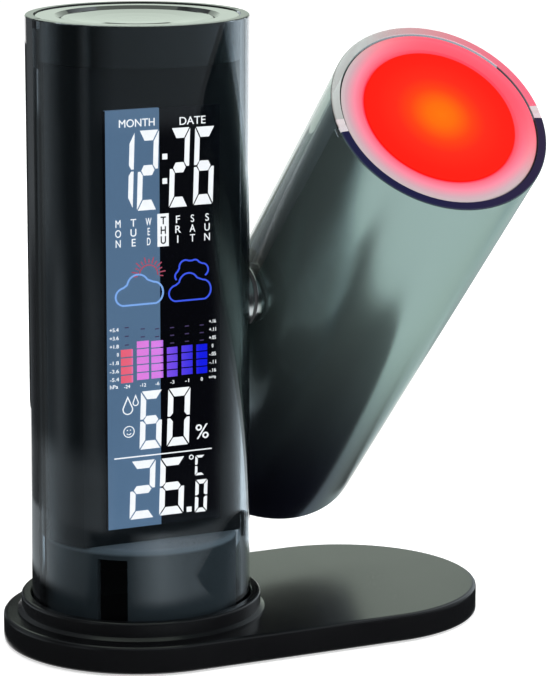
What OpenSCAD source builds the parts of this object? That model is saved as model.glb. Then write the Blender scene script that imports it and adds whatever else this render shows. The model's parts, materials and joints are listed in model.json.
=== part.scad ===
// Projection alarm clock: a round display column and a round projector arm
// that swivels beside it, both standing on one flat base.
// Millimetres. +Z is up, the display faces -Y, and the origin is the middle
// of the footprint on the table.

/* [Tubes] */
// Outer diameter of the column and of the projector arm
tube_d = 64; // [58:1:72]
// Wall thickness of the tube shells
wall = 2.5; // [2:0.1:3.2]
// Clear gap between the column and the arm
tube_gap = 2.5; // [1.8:0.1:4]
// Length of the projector arm
arm_l = 165; // [140:1:190]
// Forward lean of the arm at rest, in degrees
arm_tilt = 45; // [0:1:60]
// Clear height under the arm's corner as it swings past the base
swing_gap = 2.7; // [1.5:0.1:8]

/* [Base] */
// Thickness of the base plate
base_t = 8; // [7:0.1:12]
// Ledge of the base plate around each tube
base_margin = 8.5; // [7:0.5:14]
// Wall thickness of the base moulding
base_wall = 2.5; // [2:0.1:3.5]
// Thickness of the steel ballast plate inside the base
ballast_t = 2.6; // [1:0.1:3]
// Height of the socket ring that holds the column
socket_h = 5.5; // [4:0.1:10]
// Thickness of the socket ring
socket_t = 2.9; // [2:0.1:4]
// Radius of a rubber foot
pad_r = 7; // [5:0.5:9]
// How far the rubber feet stand out below the base
pad_stand = 0.8; // [0.5:0.1:2]

/* [Display] */
// Width of the display glass
lcd_w = 35; // [30:0.5:38]
// Height of the display glass
lcd_h = 121; // [105:1:140]
// Thickness of the display glass
lcd_t = 2.2; // [1.4:0.1:2.6]
// How far the display's face stands back from the inside of the tube
lcd_setback = 12.5; // [11:0.1:14]
// Thickness of the display frame
frame_t = 2; // [1.5:0.1:2.4]
// Thickness of the backlight
light_t = 3.5; // [2.5:0.1:4]
// Height of the skirted foot inside the column
foot_h = 25.2; // [24:0.1:40]
// Height of dark frame above the display
brow_h = 12.5; // [11:0.1:25]

/* [Buttons] */
// Radius of the round snooze button
snooze_r = 22; // [15:0.5:23]
// Travel of the snooze button
snooze_travel = 1.5; // [0.8:0.1:2]
// Radius of a rear key
key_r = 3.2; // [2.4:0.1:4]
// Spacing of the rear keys
key_pitch = 10; // [9.5:0.1:11]
// Travel of a rear key
key_travel = 0.5; // [0.3:0.05:0.6]

/* [Power] */
// Diameter of a battery cell
cell_d = 10.5; // [9.5:0.1:11]
// Length of a battery cell
cell_l = 44.5; // [40:0.1:50]
// Radius of the plug hole of the power inlet
jack_bore_r = 3.1; // [2.6:0.05:3.3]

/* [Pivot] */
// Radius of the hollow pivot shaft
shaft_r = 6; // [5:0.1:7]
// Radius of the bush that stands out of the column
hub_r = 9.5; // [9:0.1:11]
// Running clearance of the shaft in its bush
shaft_fit = 0.06; // [0.03:0.01:0.1]

/* [Projector] */
// Radius of the front lens
lens_r = 22.3; // [18:0.1:24]
// Height of the lens's crown above the arm's rim
lens_rise = 1; // [0:0.1:2]
// Radius of the small projector tube inside the arm
barrel_r = 9; // [8:0.1:11]

/* [Hidden] */
$fn = 96;

// Clearances and small sizes that many pieces share
fit = 0.3;
snug = 0.05;
edge = 0.8;
pcb_t = 1.6;
eps = 0.5;

// Screws in two sizes, and the posts that take them
screw_r = 1.4;
head_r = 2.8;
head_t = 1.5;
boss_r = 3.6;
small_r = 1;
small_head_r = 2;
post_r = 2.1;

// Tubes
tube_r = tube_d / 2;
in_r = tube_r - wall;
half_pitch = (tube_d + tube_gap) / 2;
rim_edge = 0.5;
lap_deg = 3;
root_deg = 2;
lap_end = 14;
rim_key_deg = 5;
rim_key_t = 2.5;

// Base, from the table up
base_r = tube_r + base_margin;
base_top = pad_stand + base_t;
base_ceiling = base_top - base_wall;
cover_top = base_ceiling - ballast_t;
cover_r = base_r - base_wall - fit;
socket_in = tube_r + fit;
socket_out = socket_in + socket_t;
pad_t = 1.6;
pad_edge = 0.4;
pad_spread = 12;
pad_inset = 16.5;
pad_x = half_pitch + pad_spread;
pad_y = base_r - pad_inset;
cover_screw_x = 14;
cover_screw_inset = 10.5;
cover_screw_y = base_r - cover_screw_inset;

// Column, measured up from the top of the base plate
foot_r = in_r - 1.5;
foot_wall = 2;
foot_boss_at = foot_r - 8;
foot_boss_angles = [30, 150, 270];
foot_bevel = 1.6;
foot_screw_bite = 7;
port_from = 31;
port_to = 49;
port_low = 2.4;
port_rim = 3;
sensor_w = 8;
sensor_t = 1.2;
sensor_h = 13;
sensor_y = foot_r - 11.5;
sensor_x = sqrt(pow(foot_r - foot_wall - fit, 2) - pow(sensor_y + sensor_t, 2));
frame_r = in_r - fit;
lcd_off = in_r - lcd_setback;
lcd_proud = 0.5;
frame_front = lcd_off - lcd_proud;
frame_rear = frame_front - frame_t;
frame_back = 3.5;
lcd_z = foot_h + 4.6;
frame_top = lcd_z + lcd_h + brow_h;
light_w = lcd_w + 2.4;
light_back = frame_rear - light_t;
post_x = light_w / 2 + fit + post_r;
board_rim = 0.5;
board_low = 4;
board_high = 7;
board_z = lcd_z - board_low;
board_h = lcd_h + board_low + board_high;
board_post_in = post_r + board_rim;
board_post_zs = [board_z + board_post_in, board_z + board_h - board_post_in];
board_back = light_back - pcb_t;
chip_w = 14;
chip_t = 1.4;
memory_w = 8;
memory_h = 6;
plug_w = 16;
plug_t = 3.5;
plug_h = 5;

// Top of the column, upwards from the frame
snooze_board_top = frame_top + pcb_t;
flange_t = 1.6;
flange_z = snooze_board_top + snooze_travel + 2.9;
cap_under = flange_z + flange_t + fit;
cap_t = 4;
column_h = cap_under + cap_t + fit;
cap_r = in_r - 0.15;
skirt_t = 1.75;
well_r = snooze_r + 0.4;
flange_r = snooze_r + 1.5;
button_sink = 0.7;
lip_bevel = 1.2;
dome_r = 7;
snooze_screw_x = 18.5;
snooze_screw_y = 6.6;
snooze_boss_r = 2.4;
snooze_boss_h = 4.2;
snooze_bite = 3;

// Pivot, measured along +X from the middle of the gap between the tubes
swing_r = sqrt(pow(arm_l / 2, 2) + pow(tube_r, 2));
pivot_h = swing_r + swing_gap;
pivot_z = base_top + pivot_h;
hub_pad_t = 3.75;
seat_x = tube_gap / 2 + wall + hub_pad_t;
hub_face = 0.6;
hub_flange_t = 2;
hub_flange_r = hub_r + 2.5;
hub_pad_r = hub_r + 3.5;
hub_clear_r = hub_pad_r + fit;
arm_hub_r = hub_r - 1;
shaft_bore_r = shaft_r - 2.6;
spring_t = 1.2;
spring_r = hub_r - 0.4;
stop_x = seat_x + hub_flange_t + spring_t + snug;
stop_t = 1;
clip_x = stop_x + stop_t + snug;
clip_t = 0.9;
groove_r = shaft_r - 0.8;
clip_r = shaft_r + 2;
tail_x = clip_x + clip_t + 1.4;

// The swivel stops with the arm upright and with it upside down: a finger on
// the stop washer meets the two ends of a curved wall on the bush
swing_deg = 180;
finger_deg = 40;
stop_play_deg = 1;
stop_wall_deg = 360 - swing_deg - finger_deg - 2 * stop_play_deg;
finger_r = hub_flange_r - 0.7;

// Rear keys and their board
key_count = 6;
bay_z = foot_h + 1.5;
bay_wall = 1.5;
contact_room = 1.8;
bay_h = cell_l + 2 * contact_room + 2 * bay_wall;
key_mid = (bay_z + bay_h + frame_top) / 2;
key_span = (key_count - 1) * key_pitch;
key_collar_y = in_r - 0.9;
key_collar_t = 1.1;
key_collar_r = key_r + 0.8;
key_back = key_collar_y - key_collar_t;
switch_gap = key_travel + fit;
switch_h = 4.1;
key_board_y = key_back - switch_gap - switch_h;
key_board_w = 16;
switch_w = 6;
switch_nub_h = 0.6;
switch_nub_r = 1.7;
key_post_r = 2.4;
key_screw_bite = 4;
key_post_z = key_span / 2 + key_collar_r + key_post_r + fit;
key_board_h = 2 * (key_post_z + head_r);

// Battery bay
cell_r = cell_d / 2;
cell_pitch = cell_d + 1.1;
cell_inset = 2.45;
cell_y = sqrt(pow(frame_r - cell_r, 2) - pow(cell_pitch, 2)) - cell_inset;
bay_half = cell_pitch + cell_r + fit;
door_z = bay_z + bay_wall;
door_h = bay_h - 2 * bay_wall;
contact_w = 8;
contact_t = 0.4;
coil_r = 3.8;
coil_top_r = 2.2;
coil_wire = 0.4;
nub_r = 2;
grip_w = 14;
grip_r = 0.8;
grip_pitch = 2;
grip_drop = 9;

// Power inlet and air vents
jack_z = 13;
jack_w = 9;
jack_h = 11;
jack_l = 13;
jack_face = foot_r + 0.5;
jack_rim_r = jack_bore_r + 0.8;
vent_w = 1.5;
vent_h = 10;
vent_z = 8;
vent_xs = [-19, -16, -13, -10];

// Arm, measured from the pivot along its own axis
arm_top = arm_l / 2;
lens_face = arm_top + lens_rise;
lens_edge_t = 2;
lens_dome = 0.8;
bezel_seat = lens_face - lens_dome - lens_edge_t - 1.2;
cup_r = in_r - 0.6;
cup_wall = 1.5;
cup_low = 5;
cup_neck_r = 16;
cup_shoulder = 18;
led_board_z = cup_low;
led_board_r = cup_neck_r - 0.3;
sink_h = 12;
sink_r = led_board_r - 4;
core_r = in_r - 0.6;
core_wall = 2;
core_top = cup_shoulder - snug;
cup_step_r = core_r - core_wall - fit;
cap_plate_t = 3;
end_sink = 0.6;
core_low = -arm_top + end_sink + cap_plate_t;
barrel_h = 34;
barrel_wall = 1.4;
cable_r = 2;
cable_plug_r = 3;
cap_boss_r = 3.4;
cap_screw_x = core_r - core_wall - cap_boss_r - 0.6;
cap_screw_l = 9;

// ---------- places ----------

module on_column() {
    translate([-half_pitch, 0, base_top]) children();
}

module on_pivot() {
    translate([0, 0, pivot_z]) rotate([0, 90, 0]) children();
}

module on_arm() {
    translate([half_pitch, 0, pivot_z]) rotate([arm_tilt, 0, 0]) children();
}

// Turns a piece drawn along +Z so that it runs along +Y or +X
module along_y() {
    rotate([-90, 0, 0]) children();
}

module along_x() {
    rotate([0, 90, 0]) children();
}

module both_ways(x) {
    for (s = [-1, 1]) translate([s * x, 0, 0]) children();
}

// ---------- shared shapes ----------

// Points of a rounded corner about [r, z], from angle a to angle b
function arc(r, z, rad, a, b, n = 4) =
    [for (i = [0:n]) let (t = a + (b - a) * i / n) [r + rad * cos(t), z + rad * sin(t)]];

module turned(points) {
    rotate_extrude() polygon(points);
}

// A flat slab with two round ends, from a half section [[reach, z], ...]
// whose first and last points lie on the middle plane
module stadium(points) {
    n = len(points);
    mirrored = [for (i = [n - 2:-1:1]) [-points[i][0], points[i][1]]];
    for (s = [-1, 1])
        translate([s * half_pitch, 0, 0])
            rotate([0, 0, -s * 90])
                rotate_extrude(angle = 180) polygon(points);
    translate([-half_pitch, 0, 0])
        rotate([90, 0, 90])
            linear_extrude(2 * half_pitch) polygon(concat(points, mirrored));
}

module plain_stadium(r, z0, z1) {
    stadium([[0, z0], [r, z0], [r, z1], [0, z1]]);
}

// A pan head screw along +Z with its head below z = 0
module pan_screw(r, length, head) {
    turned(concat([[0, -head_t]], arc(head - 0.5, -head_t + 0.5, 0.5, -90, 0),
        [[head, 0], [r, 0], [r, length - r], [0, length]]));
}

module hollow_post(r, bore, h) {
    difference() {
        cylinder(r = r, h = h);
        translate([0, 0, -eps]) cylinder(r = bore, h = h + 2 * eps);
    }
}

// Half of a tube wall from z0 to z1, on the +Y side (s = 1) or the -Y side
module half_tube(s, z0, z1) {
    rotate([0, 0, s > 0 ? 0 : 180])
        rotate_extrude(angle = 180)
            polygon(concat(
                [[in_r, z0]],
                arc(tube_r - rim_edge, z0 + rim_edge, rim_edge, -90, 0),
                arc(tube_r - rim_edge, z1 - rim_edge, rim_edge, 0, 90),
                [[in_r, z1]]));
}

// Lap strips along both seams of a tube: each reaches lap_deg past the seam
// plane and root_deg behind it
module seam_laps(z0, z1, gap) {
    for (a = [-lap_deg - gap, 180 - root_deg])
        rotate([0, 0, a])
            rotate_extrude(angle = lap_deg + root_deg + gap)
                translate([in_r - gap, z0 - gap])
                    square([wall / 2 + 2 * gap, z1 - z0 + 2 * gap]);
}

// Small blocks at the upper rim of one half that locate it in the other
module rim_keys(z1) {
    for (a = [-rim_key_deg, 180 - root_deg])
        rotate([0, 0, a])
            rotate_extrude(angle = rim_key_deg + root_deg)
                polygon(concat(
                    [[in_r + snug, z1 - rim_key_t], [tube_r - snug, z1 - rim_key_t]],
                    arc(tube_r - rim_edge - snug, z1 - rim_edge - snug, rim_edge, 0, 90),
                    [[in_r + snug, z1 - snug]]));
}

module rim_key_slots(z1) {
    for (a = [-rim_key_deg - 0.1, 180 - root_deg])
        rotate([0, 0, a])
            rotate_extrude(angle = rim_key_deg + root_deg + 0.1)
                translate([in_r - eps, z1 - rim_key_t - snug])
                    square([wall + 2 * eps, rim_key_t + snug + eps]);
}

module half_space(s) {
    translate([-2 * tube_d, s > 0 ? 0 : -4 * tube_d, -2 * arm_l])
        cube([4 * tube_d, 4 * tube_d, 4 * arm_l]);
}

// Flat-faced pad inside a tube wall around the pivot hole. side is +1 where
// the tube lies on the -X side of the gap and -1 where it lies on the +X side
module hub_pad(s, side, z) {
    intersection() {
        translate([side * (half_pitch - seat_x), 0, z])
            along_x() mirror([0, 0, side > 0 ? 0 : 1])
                cylinder(r = hub_pad_r, h = seat_x);
        translate([0, 0, z - hub_pad_r]) cylinder(r = in_r + wall / 3, h = 2 * hub_pad_r);
        half_space(s);
    }
}

module hub_hole(side, z, r) {
    translate([side * (half_pitch - 2 * seat_x), 0, z])
        along_x() mirror([0, 0, side > 0 ? 0 : 1])
            cylinder(r = r, h = 3 * seat_x);
}

// One half of a clamshell tube with its pivot hole; side as in hub_pad
module clamshell(s, side, z0, z1, hub_z, hole_r) {
    difference() {
        union() {
            half_tube(s, z0, z1);
            hub_pad(s, side, hub_z);
            if (s > 0) seam_laps(z0 + lap_end, z1 - lap_end, 0);
            if (s > 0) rim_keys(z1);
        }
        hub_hole(side, hub_z, hole_r);
        if (s < 0) seam_laps(z0 + lap_end, z1 - lap_end, 0.1);
        if (s < 0) rim_key_slots(z1);
    }
}

// ---------- base ----------

module at_cover_screws() {
    for (x = [-1, 1], y = [-1, 1])
        translate([x * cover_screw_x, y * cover_screw_y, 0]) children();
}

module at_feet() {
    for (x = [-1, 1], y = [-1, 1]) translate([x * pad_x, y * pad_y, 0]) children();
}

module at_foot_screws() {
    translate([-half_pitch, 0, 0])
        for (a = foot_boss_angles)
            translate([foot_boss_at * cos(a), foot_boss_at * sin(a), 0]) children();
}

module socket_ring() {
    translate([-half_pitch, 0, 0])
        turned(concat(
            [[socket_in, base_top - 1], [socket_out + 1.2, base_top - 1],
             [socket_out + 1.2, base_top + 0.5], [socket_out, base_top + 1.3]],
            arc(socket_out - edge, base_top + socket_h - edge, edge, 0, 90),
            [[socket_in + 0.4, base_top + socket_h], [socket_in, base_top + socket_h - 0.4]]));
}

module base_plate() {
    color("#1b1d1e") difference() {
        union() {
            difference() {
                stadium(concat(
                    [[0, pad_stand]],
                    arc(base_r - 0.5, pad_stand + 0.5, 0.5, -90, 0),
                    arc(base_r - 1.2, base_top - 1.2, 1.2, 0, 90),
                    [[0, base_top]]));
                plain_stadium(base_r - base_wall, pad_stand - 1, base_ceiling);
            }
            socket_ring();
            at_cover_screws()
                translate([0, 0, cover_top]) cylinder(r = boss_r, h = base_top - 1 - cover_top);
        }
        at_cover_screws()
            translate([0, 0, cover_top - 1]) cylinder(r = screw_r + snug, h = base_wall + ballast_t);
        at_foot_screws() translate([0, 0, base_ceiling - 1])
            cylinder(r = screw_r + fit, h = base_wall + 2);
    }
}

module ballast_plate() {
    color("#7d8184") difference() {
        plain_stadium(cover_r - 1, cover_top, base_ceiling);
        at_cover_screws() translate([0, 0, cover_top - 1])
            cylinder(r = boss_r + fit, h = ballast_t + 2);
        at_foot_screws() translate([0, 0, cover_top - 1])
            cylinder(r = head_r + fit, h = ballast_t + 2);
    }
}

module base_cover() {
    color("#202224") difference() {
        plain_stadium(cover_r, pad_stand, cover_top);
        at_feet() translate([0, 0, pad_stand - 1])
            cylinder(r = pad_r + 0.1, h = pad_t - pad_stand + 1);
        at_cover_screws() {
            translate([0, 0, pad_stand - 1]) cylinder(r = screw_r + fit, h = 2 * base_t);
            translate([0, 0, pad_stand - 1]) cylinder(r = head_r + fit, h = head_t + 1.1);
        }
    }
}

module rubber_feet() {
    color("#2b2b2b") at_feet()
        turned(concat([[0, 0]], arc(pad_r - pad_edge, pad_edge, pad_edge, -90, 0),
            [[pad_r, pad_t], [0, pad_t]]));
}

module cover_screws() {
    color("silver") at_cover_screws() translate([0, 0, pad_stand + head_t + 0.1])
        pan_screw(screw_r, ballast_t + base_wall - 0.5, head_r);
}

module foot_screws() {
    color("silver") at_foot_screws() translate([0, 0, base_ceiling])
        pan_screw(screw_r, base_wall + foot_screw_bite, head_r);
}

// ---------- column ----------

module column_foot() {
    color("#3a3e42") on_column() difference() {
        union() {
            difference() {
                turned(concat([[0, 0], [foot_r, 0]],
                    arc(foot_r - foot_bevel, foot_h - foot_bevel, foot_bevel, 0, 90),
                    [[0, foot_h]]));
                translate([0, 0, -1])
                    cylinder(r = foot_r - foot_wall, h = foot_h - foot_wall + 1);
                // front port, which lets air through to the sensor
                rotate([0, 0, 270 - port_to])
                    rotate_extrude(angle = port_to - port_from)
                        translate([foot_r - foot_wall - 1, port_low])
                            square([foot_wall + 2, foot_h - port_rim - port_low]);
            }
            for (a = foot_boss_angles)
                translate([foot_boss_at * cos(a), foot_boss_at * sin(a), 0])
                    cylinder(r = boss_r, h = foot_h - 1);
            // shelf under the power inlet
            translate([-jack_w / 2 - 1, jack_face - jack_l, 0])
                cube([jack_w + 2, jack_l - 2, jack_z - jack_h / 2]);
        }
        for (a = foot_boss_angles)
            translate([foot_boss_at * cos(a), foot_boss_at * sin(a), -1])
                cylinder(r = screw_r + snug, h = foot_screw_bite + 4 + 1);
        translate([-jack_w / 2 - fit, foot_r - 5, jack_z - jack_h / 2])
            cube([jack_w + 2 * fit, 10, jack_h + fit]);
        vents();
    }
}

module vents() {
    for (x = vent_xs)
        translate([x - vent_w / 2, sqrt(pow(foot_r - foot_wall, 2) - x * x) - 2, vent_z])
            cube([vent_w, tube_r, vent_h]);
}

module column_front_shell() {
    color([0.12, 0.14, 0.17, 0.6]) on_column()
        clamshell(-1, 1, 0, column_h, pivot_h, hub_r + snug);
}

module key_holes() {
    for (i = [1:key_count])
        translate([0, key_collar_y - 2, key_z(i)])
            along_y() cylinder(r = key_r + fit, h = wall + 5);
}

function key_z(i) = key_mid + (i - (key_count + 1) / 2) * key_pitch;

module at_key_posts() {
    for (s = [-1, 1]) translate([0, key_board_y, key_mid + s * key_post_z]) children();
}

module column_rear_shell() {
    color("#101215") on_column() difference() {
        union() {
            clamshell(1, 1, 0, column_h, pivot_h, hub_r + snug);
            at_key_posts() along_y() cylinder(r = key_post_r, h = in_r + wall / 3 - key_board_y);
        }
        at_key_posts() translate([0, -1, 0]) along_y() cylinder(r = screw_r + snug, h = 6);
        key_holes();
        translate([-bay_half, cell_y, door_z]) cube([2 * bay_half, tube_r, door_h]);
        translate([0, jack_face - 2, jack_z]) along_y() cylinder(r = jack_rim_r + 0.2, h = 10);
        vents();
    }
}

module display_frame() {
    color("#17191c") on_column() difference() {
        union() {
            intersection() {
                difference() {
                    translate([0, 0, foot_h]) cylinder(r = frame_r, h = frame_top - foot_h);
                    translate([-tube_r, -frame_rear, foot_h - 1])
                        cube([tube_d, tube_r, frame_top - frame_t - foot_h + 1]);
                }
                translate([-tube_r, -frame_front, foot_h])
                    cube([tube_d, frame_front - frame_back, frame_top - foot_h]);
            }
            frame_cheeks();
            for (x = [-1, 1], z = board_post_zs)
                translate([x * post_x, -frame_rear - 0.5, z])
                    along_y() cylinder(r = post_r, h = light_t + 0.5);
            both_ways(snooze_screw_x)
                translate([0, -snooze_screw_y, frame_top - snooze_boss_h])
                    cylinder(r = snooze_boss_r, h = snooze_boss_h - 1);
        }
        translate([-lcd_w / 2 - 0.15, -tube_r, lcd_z - 0.15])
            cube([lcd_w + 0.3, tube_r - frame_rear + 1, lcd_h + 0.3]);
        for (x = [-1, 1], z = board_post_zs)
            translate([x * post_x, -frame_rear - 1, z])
                along_y() cylinder(r = small_r + snug, h = light_t + 2);
        both_ways(snooze_screw_x)
            translate([0, -snooze_screw_y, frame_top - snooze_bite - fit])
                cylinder(r = small_r + snug, h = snooze_bite + 1);
        hub_hole(1, pivot_h, hub_clear_r);
    }
}

// Curved side walls of the frame, which follow the inside of the tube
module frame_cheeks() {
    intersection() {
        translate([0, 0, foot_h])
            hollow_post(frame_r, frame_r - frame_t, frame_top - foot_h);
        translate([-tube_r, -frame_rear - 0.5, foot_h])
            cube([tube_d, frame_rear + 0.5 - frame_back, frame_top - foot_h]);
    }
}

module lcd_panel() {
    color("#5a7391") on_column()
        translate([-lcd_w / 2, -lcd_off, lcd_z]) cube([lcd_w, lcd_t, lcd_h]);
}

module backlight() {
    color("white") on_column()
        translate([-light_w / 2, -frame_rear, lcd_z - 1.2]) cube([light_w, light_t, lcd_h + 2.4]);
}

module main_board() {
    color("#1f5c3a") on_column() {
        difference() {
            intersection() {
                translate([-tube_r, -light_back, board_z]) cube([tube_d, pcb_t, board_h]);
                translate([0, 0, board_z]) cylinder(r = frame_r - frame_t - fit, h = board_h);
                translate([-post_x - board_post_in, -light_back, board_z])
                    cube([2 * (post_x + board_post_in), pcb_t, board_h]);
            }
            for (x = [-1, 1], z = board_post_zs)
                translate([x * post_x, -light_back - 1, z])
                    along_y() cylinder(r = small_r + fit, h = pcb_t + 2);
            hub_hole(1, pivot_h, hub_clear_r);
        }
        // processor, memory and two connectors
        board_part(0.3, chip_w, chip_t, chip_w);
        board_part(0.55, memory_w, chip_t, memory_h);
        board_part(0.8, plug_w, plug_t, plug_h);
        board_part(0.12, plug_w, plug_t, plug_h);
    }
}

// A part on the back of the main board, at a share of the board's height
module board_part(share, w, t, h) {
    translate([-w / 2, -board_back, board_z + share * board_h]) cube([w, t, h]);
}

module board_screws() {
    color("silver") on_column()
        for (x = [-1, 1], z = board_post_zs)
            translate([x * post_x, -board_back, z]) mirror([0, 1, 0])
                along_y() pan_screw(small_r, light_t + pcb_t - 0.5, small_head_r);
}

module top_cap() {
    color("#9da79b") on_column()
        turned(concat(
            [[well_r, cap_under], [cap_r - skirt_t, cap_under],
             [cap_r - skirt_t, frame_top + fit], [cap_r, frame_top + fit]],
            arc(cap_r - 0.6, column_h - fit - 0.6, 0.6, 0, 90),
            [[well_r + lip_bevel, column_h - fit], [well_r, column_h - fit - lip_bevel]]));
}

module snooze_button() {
    top = cap_under + cap_t - button_sink;
    color("#aab5a8") on_column()
        turned(concat(
            [[0, flange_z], [4, flange_z], [4, flange_z + 1.2], [snooze_r - 1.8, flange_z + 1.2],
             [snooze_r - 1.8, flange_z], [flange_r, flange_z],
             [flange_r, flange_z + flange_t], [snooze_r, flange_z + flange_t]],
            arc(snooze_r - edge, top - edge, edge, 0, 90),
            [[snooze_r - 2.4, top], [snooze_r * 0.6, top - 0.35],
             [snooze_r * 0.3, top - 0.5], [0, top - 0.55]]));
}

module snooze_board() {
    color("#1f5c3a") on_column() {
        difference() {
            translate([0, 0, frame_top]) cylinder(r = cap_r - skirt_t - fit, h = pcb_t);
            both_ways(snooze_screw_x)
                translate([0, -snooze_screw_y, frame_top - 1])
                    cylinder(r = small_r + fit, h = pcb_t + 2);
        }
        translate([-switch_w / 2, -switch_w / 2, snooze_board_top]) cube([switch_w, switch_w, 1.6]);
        translate([0, 0, snooze_board_top + 1.6]) cylinder(r = switch_nub_r, h = 0.5);
    }
}

module snooze_screws() {
    color("silver") on_column()
        both_ways(snooze_screw_x)
            translate([0, -snooze_screw_y, snooze_board_top]) mirror([0, 0, 1])
                pan_screw(small_r, pcb_t + snooze_bite, small_head_r);
}

// Rubber dome that pushes the button back up, shaped like a keypad dome
module snooze_dome() {
    top = flange_z - fit;
    color("#e8e6e0") on_column()
        turned([[dome_r - 1, snooze_board_top], [dome_r, snooze_board_top],
            [dome_r, snooze_board_top + 0.8], [3.6, top], [0, top], [0, top - 0.8],
            [3, top - 0.8], [dome_r - 1, snooze_board_top + 0.5]]);
}

// ---------- rear keys ----------

module key_board() {
    color("#1f5c3a") on_column() {
        difference() {
            translate([-key_board_w / 2, key_board_y - pcb_t, key_mid - key_board_h / 2])
                cube([key_board_w, pcb_t, key_board_h]);
            at_key_posts() translate([0, -pcb_t - 1, 0])
                along_y() cylinder(r = screw_r + fit, h = pcb_t + 2);
        }
        for (i = [1:key_count])
            translate([0, key_board_y, key_z(i)]) {
                translate([-switch_w / 2, 0, -switch_w / 2])
                    cube([switch_w, switch_h - switch_nub_h, switch_w]);
                along_y() cylinder(r = switch_nub_r, h = switch_h);
            }
    }
}

module key_board_screws() {
    color("silver") on_column()
        at_key_posts() translate([0, -pcb_t, 0]) along_y()
            pan_screw(screw_r, pcb_t + key_screw_bite, head_r);
}

module rear_key(i) {
    tip = tube_r + key_travel + 0.3;
    color("#2a2d31") on_column()
        translate([0, key_back, key_z(i)]) along_y()
            turned(concat(
                [[0, 0], [key_collar_r, 0], [key_collar_r, key_collar_t], [key_r, key_collar_t]],
                arc(key_r - 0.5, tip - key_back - 0.5, 0.5, 0, 90),
                [[0, tip - key_back]]));
}

// ---------- power ----------

module battery_tray() {
    color("#222426") on_column() intersection() {
        translate([0, 0, bay_z]) cylinder(r = frame_r, h = bay_h);
        difference() {
            translate([-bay_half - bay_wall, cell_y - cell_r - fit - bay_wall, bay_z])
                cube([2 * (bay_half + bay_wall), tube_r, bay_h]);
            for (i = [-1:1])
                translate([i * cell_pitch, cell_y, door_z]) {
                    cylinder(r = cell_r + fit, h = door_h);
                    translate([-cell_r - fit, 0, 0]) cube([cell_d + 2 * fit, tube_r, door_h]);
                }
        }
    }
}

// The outer cells stand with their nubs up and the middle one is turned over
module cell_place(i) {
    translate([i * cell_pitch, cell_y, door_z + (i == 0 ? door_h : 0)])
        mirror([0, 0, i == 0 ? 1 : 0]) children();
}

module battery_cells() {
    color("#b07a3a") on_column() for (i = [-1:1]) cell_place(i)
        translate([0, 0, contact_room]) turned(concat(
            [[0, 0]], arc(cell_r - 0.5, 0.5, 0.5, -90, 0),
            arc(cell_r - 0.5, cell_l - 1.5, 0.5, 0, 90),
            [[nub_r, cell_l - 1], [nub_r, cell_l], [0, cell_l]]));
}

module battery_contacts() {
    color("silver") on_column() for (i = [-1:1]) cell_place(i) {
        contact_plate(0);
        turned([[coil_r - coil_wire, contact_t - 0.1], [coil_r, contact_t - 0.1],
            [coil_top_r, contact_room - 0.1], [coil_top_r - coil_wire, contact_room - 0.1]]);
        contact_plate(door_h - contact_t);
        translate([0, 0, door_h - contact_room + 0.1])
            cylinder(r = nub_r - 0.2, h = contact_room - 0.2);
    }
}

module contact_plate(z) {
    translate([-contact_w / 2, -contact_w / 2, z]) cube([contact_w, contact_w, contact_t]);
}

module battery_door() {
    grip_z = door_z + door_h - grip_drop;
    color("#101215") on_column() difference() {
        intersection() {
            translate([0, 0, door_z + fit]) hollow_post(tube_r, in_r, door_h - 2 * fit);
            translate([-bay_half + fit, cell_y, door_z])
                cube([2 * (bay_half - fit), tube_r, door_h]);
        }
        // finger grooves across the top of the door
        for (k = [0:3])
            translate([-grip_w / 2, tube_r + grip_r - eps, grip_z + grip_pitch * k])
                along_x() cylinder(r = grip_r, h = grip_w);
    }
}

module dc_jack() {
    color("#26282b") on_column() difference() {
        union() {
            translate([-jack_w / 2, jack_face - jack_l, jack_z - jack_h / 2])
                cube([jack_w, jack_l, jack_h]);
            translate([0, jack_face - 1, jack_z])
                along_y() cylinder(r = jack_rim_r, h = tube_r - jack_face + 0.6);
        }
        translate([0, tube_r - 10, jack_z]) along_y() difference() {
            cylinder(r = jack_bore_r, h = 11);
            translate([0, 0, -1]) cylinder(r = 1, h = 9.5);
        }
    }
}

module sensor_board() {
    color("#1f5c3a") on_column() translate([-sensor_x, sensor_y, 0]) {
        translate([0, 0, foot_h - foot_wall - sensor_h]) cube([sensor_w, sensor_t, sensor_h]);
        translate([sensor_w / 2 - 1.5, sensor_t, vent_z + vent_h / 2 - 1.5]) cube([3, 1, 3]);
    }
}

module buzzer() {
    color("#1a1a1a") on_column()
        translate([0, key_board_y - pcb_t, key_mid]) mirror([0, 1, 0]) along_y()
            turned([[1, 0], [6, 0], [6, 4.6], [5.4, 5.2], [1, 5.2]]);
}

// ---------- pivot ----------

module pivot_bush() {
    wall_low = -stop_x - stop_t;
    color("#8f9699") on_pivot() {
        turned(concat(
            [[shaft_r + shaft_fit, -seat_x - hub_flange_t], [hub_flange_r, -seat_x - hub_flange_t],
             [hub_flange_r, -seat_x], [hub_r, -seat_x]],
            arc(hub_r - 0.4, -hub_face - 0.4, 0.4, 0, 90),
            [[shaft_r + shaft_fit, -hub_face]]));
        rotate([0, 0, 180 - stop_wall_deg / 2])
            rotate_extrude(angle = stop_wall_deg)
                translate([hub_r, wall_low]) square([hub_flange_r - hub_r - 0.5, -seat_x - 1 - wall_low]);
    }
}

module thrust_washer() {
    color("#d8d4c8") on_pivot() translate([0, 0, -hub_face])
        difference() {
            cylinder(r = hub_r - 0.5, h = 2 * hub_face - 0.25);
            translate([0, 0, -1]) cylinder(r = shaft_r + 0.25, h = 4);
        }
}

// Conical spring that keeps the swivel tight
module disc_spring() {
    low = -seat_x - hub_flange_t;
    color("silver") on_pivot()
        turned([[spring_r, low], [spring_r, low - spring_t / 2],
            [shaft_r + 0.25, low - spring_t], [shaft_r + 0.25, low - spring_t / 2]]);
}

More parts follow.
